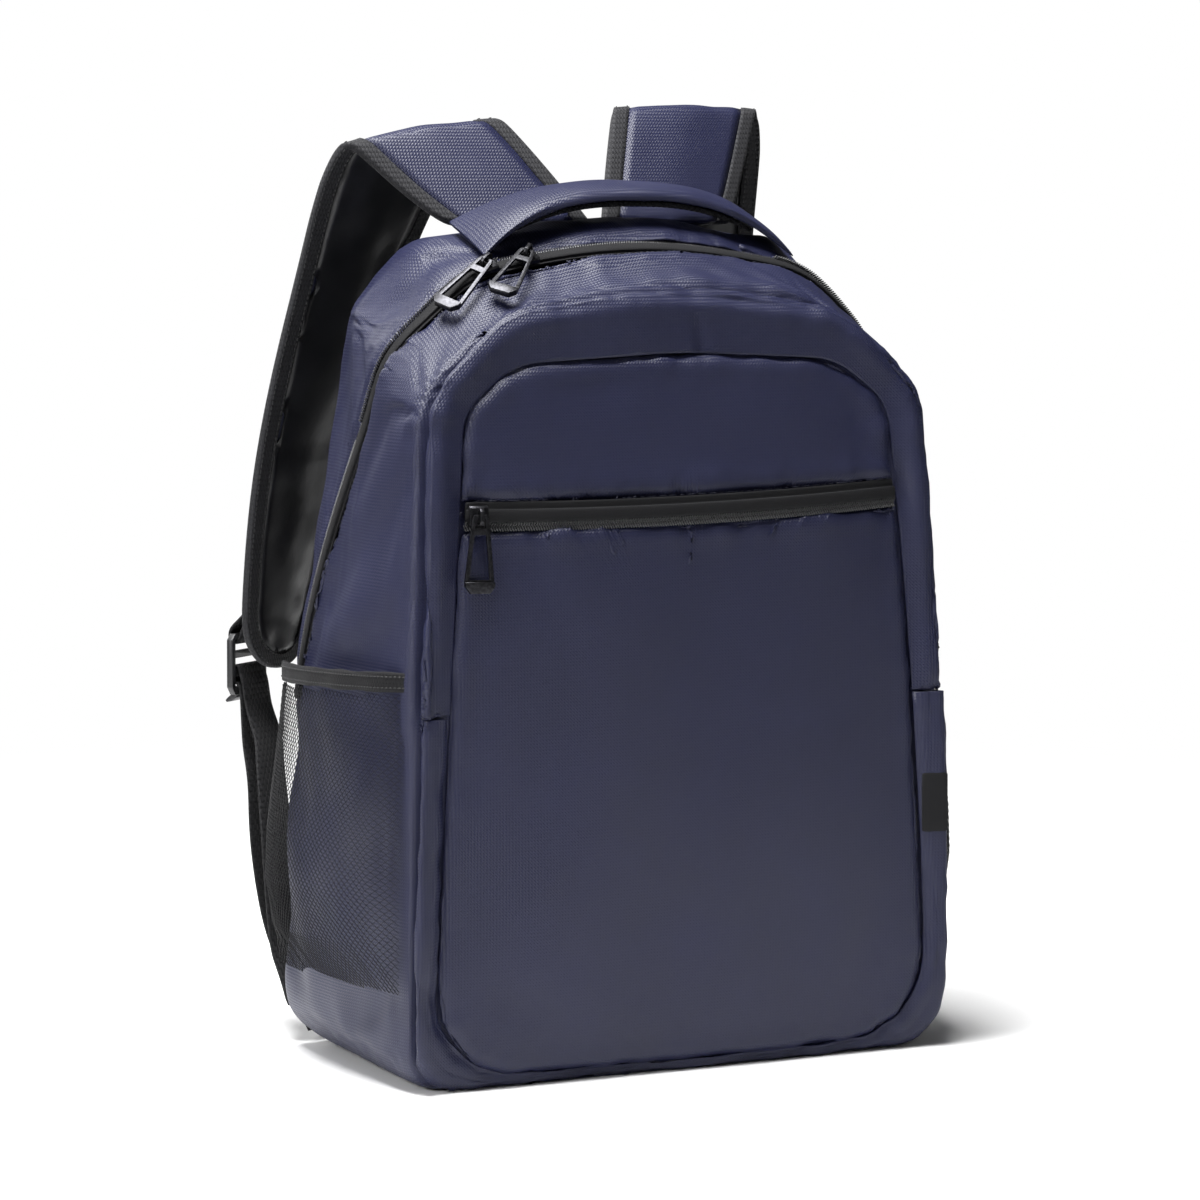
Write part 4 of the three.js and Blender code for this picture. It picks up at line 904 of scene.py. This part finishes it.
def hem(side):
    node = f"{side}_net_hem"
    obj = soft_piece(node, f"{side}_pocket_hem", 2, crease=math.radians(50))
    rumpled(obj, 0.012, 0.7 * MM, 14)
    placed(obj, node, ELASTIC)
    first, second = outer_pair(node, 90, (0, 0.01, 0.2))
    rows = [first * (1 - share) + second * share for share in (0.22, 0.78)]
    stitched(f"{side}_hem_stitches", rows, surface_tree(obj), BLACK_THREAD,
             HEM_STITCH_PITCH, HEM_STITCH_LENGTH)
    return obj


def webbing():
    for side in SIDES:
        for node, name in ((f"{side}_webbing", f"{side}_adjuster_webbing"),
                           (f"{side}_lock_loop", f"{side}_adjuster_loop")):
            obj = soft_piece(node, name, 2, crease=math.radians(50))
            placed(obj, node, WEBBING)


def hard_piece(node, material, body, edge):
    """A moulded or cast piece with its edges rounded."""
    bm = bmesh.new()
    bm.from_mesh(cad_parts[node].data)
    bmesh.ops.remove_doubles(bm, verts=bm.verts, dist=0.00001)
    obj = as_object(bm, node + "_finished")
    modifier = obj.modifiers.new("edges", "BEVEL")
    modifier.width = edge
    modifier.segments = 2
    modifier.limit_method = "ANGLE"
    modifier.angle_limit = math.radians(35)
    applied(obj)
    dressed(obj, material, body)
    obj.data.set_sharp_from_angle(angle=math.radians(40))
    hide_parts(node)
    return obj


def hardware():
    for side in SIDES:
        hard_piece(f"{side}_lock", PLASTIC, "bag", 0.4 * MM)
    for stem in ("main_zip_left", "main_zip_right", "front_zip"):
        hard_piece(stem + "_slider", METAL, "bag", 0.25 * MM)
        hard_piece(stem + "_pull", METAL, stem + "_pull", 0.25 * MM)


def label():
    obj = soft_piece("side_label", "seam_tag", 2, crease=math.radians(50))
    return placed(obj, "side_label", TAG)


def beside(edge, middle, distance):
    """A row set off from one edge of a band, away from its middle."""
    away = edge - middle
    away /= np.maximum(np.linalg.norm(away, axis=1), 1e-9)[:, None]
    return edge + away * distance


def seam_rows(zip_rows, body, pocket):
    (_, main_middle, main_left, main_right), (_, front_middle, front_low, front_high) = zip_rows
    tree = surface_tree(body)
    rows = [beside(edge, main_middle, 5 * MM) for edge in (main_left, main_right)]
    stitched("main_zip_stitches", rows, tree, NAVY_THREAD)
    tree = surface_tree(*pocket.values())
    rows = [beside(edge, front_middle, 4.2 * MM) for edge in (front_low, front_high)]
    stitched("pocket_zip_stitches", rows, tree, NAVY_THREAD)


def strap_stitches(made):
    for side in SIDES:
        pieces = [obj for obj in made if obj.name == f"{side}_edge_binding"]
        tree = surface_tree(*pieces)
        chains = [rounded(row, 2) for row in ridges(f"{side}_strap_binding")[:4]]
        first = evenly(chains[0], 320)
        chains = [first] + [evenly(matched(first, row), 320) for row in chains[1:]]
        middle = np.mean(chains, axis=0)
        rows = [row * 0.7 + middle * 0.3 for row in chains]
        stitched(f"{side}_binding_stitches", rows, tree, BLACK_THREAD,
                 BINDING_STITCH_PITCH, BINDING_STITCH_LENGTH)


WORLD_LIGHT = 0.07
FLOOR_NEAR = 0.45
FLOOR_FAR = 1.3


def floor_paper():
    """White paper that is lit near the bag and runs out to plain white further off."""
    made = Finish("floor_paper")
    made.set(Base_Color=(0.9, 0.9, 0.9, 1), Roughness=0.85, Specular_IOR_Level=0.2)
    place = made.node("ShaderNodeTexCoord")
    far = made.node("ShaderNodeVectorMath", operation="LENGTH")
    made.link(place.outputs["Object"], far.inputs[0])
    share = made.node("ShaderNodeMapRange", interpolation_type="SMOOTHSTEP")
    share.inputs["From Min"].default_value = FLOOR_NEAR
    share.inputs["From Max"].default_value = FLOOR_FAR
    made.link(far.outputs["Value"], share.inputs["Value"])
    glow = made.node("ShaderNodeEmission")
    seen = made.node("ShaderNodeLightPath")
    strength = made.node("ShaderNodeMapRange")
    strength.inputs["To Min"].default_value = WORLD_LIGHT
    made.link(seen.outputs["Is Camera Ray"], strength.inputs["Value"])
    made.link(strength.outputs[0], glow.inputs["Strength"])
    blend = made.node("ShaderNodeMixShader")
    made.link(share.outputs[0], blend.inputs[0])
    made.link(made.surface.outputs[0], blend.inputs[1])
    made.link(glow.outputs[0], blend.inputs[2])
    made.link(blend.outputs[0], made.tree.nodes["Material Output"].inputs["Surface"])
    return made.material


def studio():
    """Camera, pale floor and soft lights."""
    eye, right, up, forward = camera_frame()
    camera = bpy.data.cameras.new("camera")
    camera.lens = VIEW_LENS
    camera.sensor_width = VIEW_SENSOR
    obj = bpy.data.objects.new("camera", camera)
    obj.rotation_mode = "QUATERNION"
    obj.matrix_world = Matrix.Translation(eye) @ Matrix((right, up, -forward)).transposed().to_4x4()
    bpy.context.scene.collection.objects.link(obj)
    bpy.context.scene.camera = obj

    mesh = bpy.data.meshes.new("floor")
    reach = 30
    mesh.from_pydata([(-reach, -reach, 0), (reach, -reach, 0), (reach, reach, 0), (-reach, reach, 0)], [],
                     [(0, 1, 2, 3)])
    floor = add_object("floor", mesh)
    floor.data.materials.append(floor_paper())

    world = bpy.data.worlds.new("studio")
    world.use_nodes = True
    nodes, links = world.node_tree.nodes, world.node_tree.links
    seen = nodes.new("ShaderNodeLightPath")
    strength = nodes.new("ShaderNodeMapRange")
    strength.inputs["To Min"].default_value = WORLD_LIGHT
    strength.inputs["To Max"].default_value = 1
    links.new(seen.outputs["Is Camera Ray"], strength.inputs["Value"])
    links.new(strength.outputs[0], nodes["Background"].inputs[1])
    nodes["Background"].inputs[0].default_value = (1, 1, 1, 1)
    bpy.context.scene.world = world
    bpy.context.scene.view_settings.view_transform = "Standard"

    for name, place, aim, size, power in (
        ("top_light", (-0.35, -0.1, 1.7), (0, 0, 0.2), 0.9, 74),
        ("left_light", (-1.8, -0.5, 0.9), (0, 0, 0.25), 0.8, 22),
        ("back_light", (-0.5, 1.7, 1.4), (0, 0, 0.35), 1.2, 18),
        ("front_light", (0.3, -2.4, 1.2), (0, 0, 0.2), 1.2, 4),
    ):
        lamp = bpy.data.lights.new(name, "AREA")
        lamp.shape = "DISK"
        lamp.size = size
        lamp.energy = power
        light = bpy.data.objects.new(name, lamp)
        light.location = place
        light.rotation_mode = "QUATERNION"
        light.rotation_quaternion = (Vector(aim) - Vector(place)).to_track_quat("-Z", "Y")
        bpy.context.scene.collection.objects.link(light)


studio()
body = body_cloth()
pocket = front_cloth()
zip_rows = zips()
strap_pieces = straps()
handle()
back_padding()
webbing()
hardware()
label()
for side in SIDES:
    net_pocket(side)
    hem(side)
seam_rows(zip_rows, body, pocket)
strap_stitches(strap_pieces)
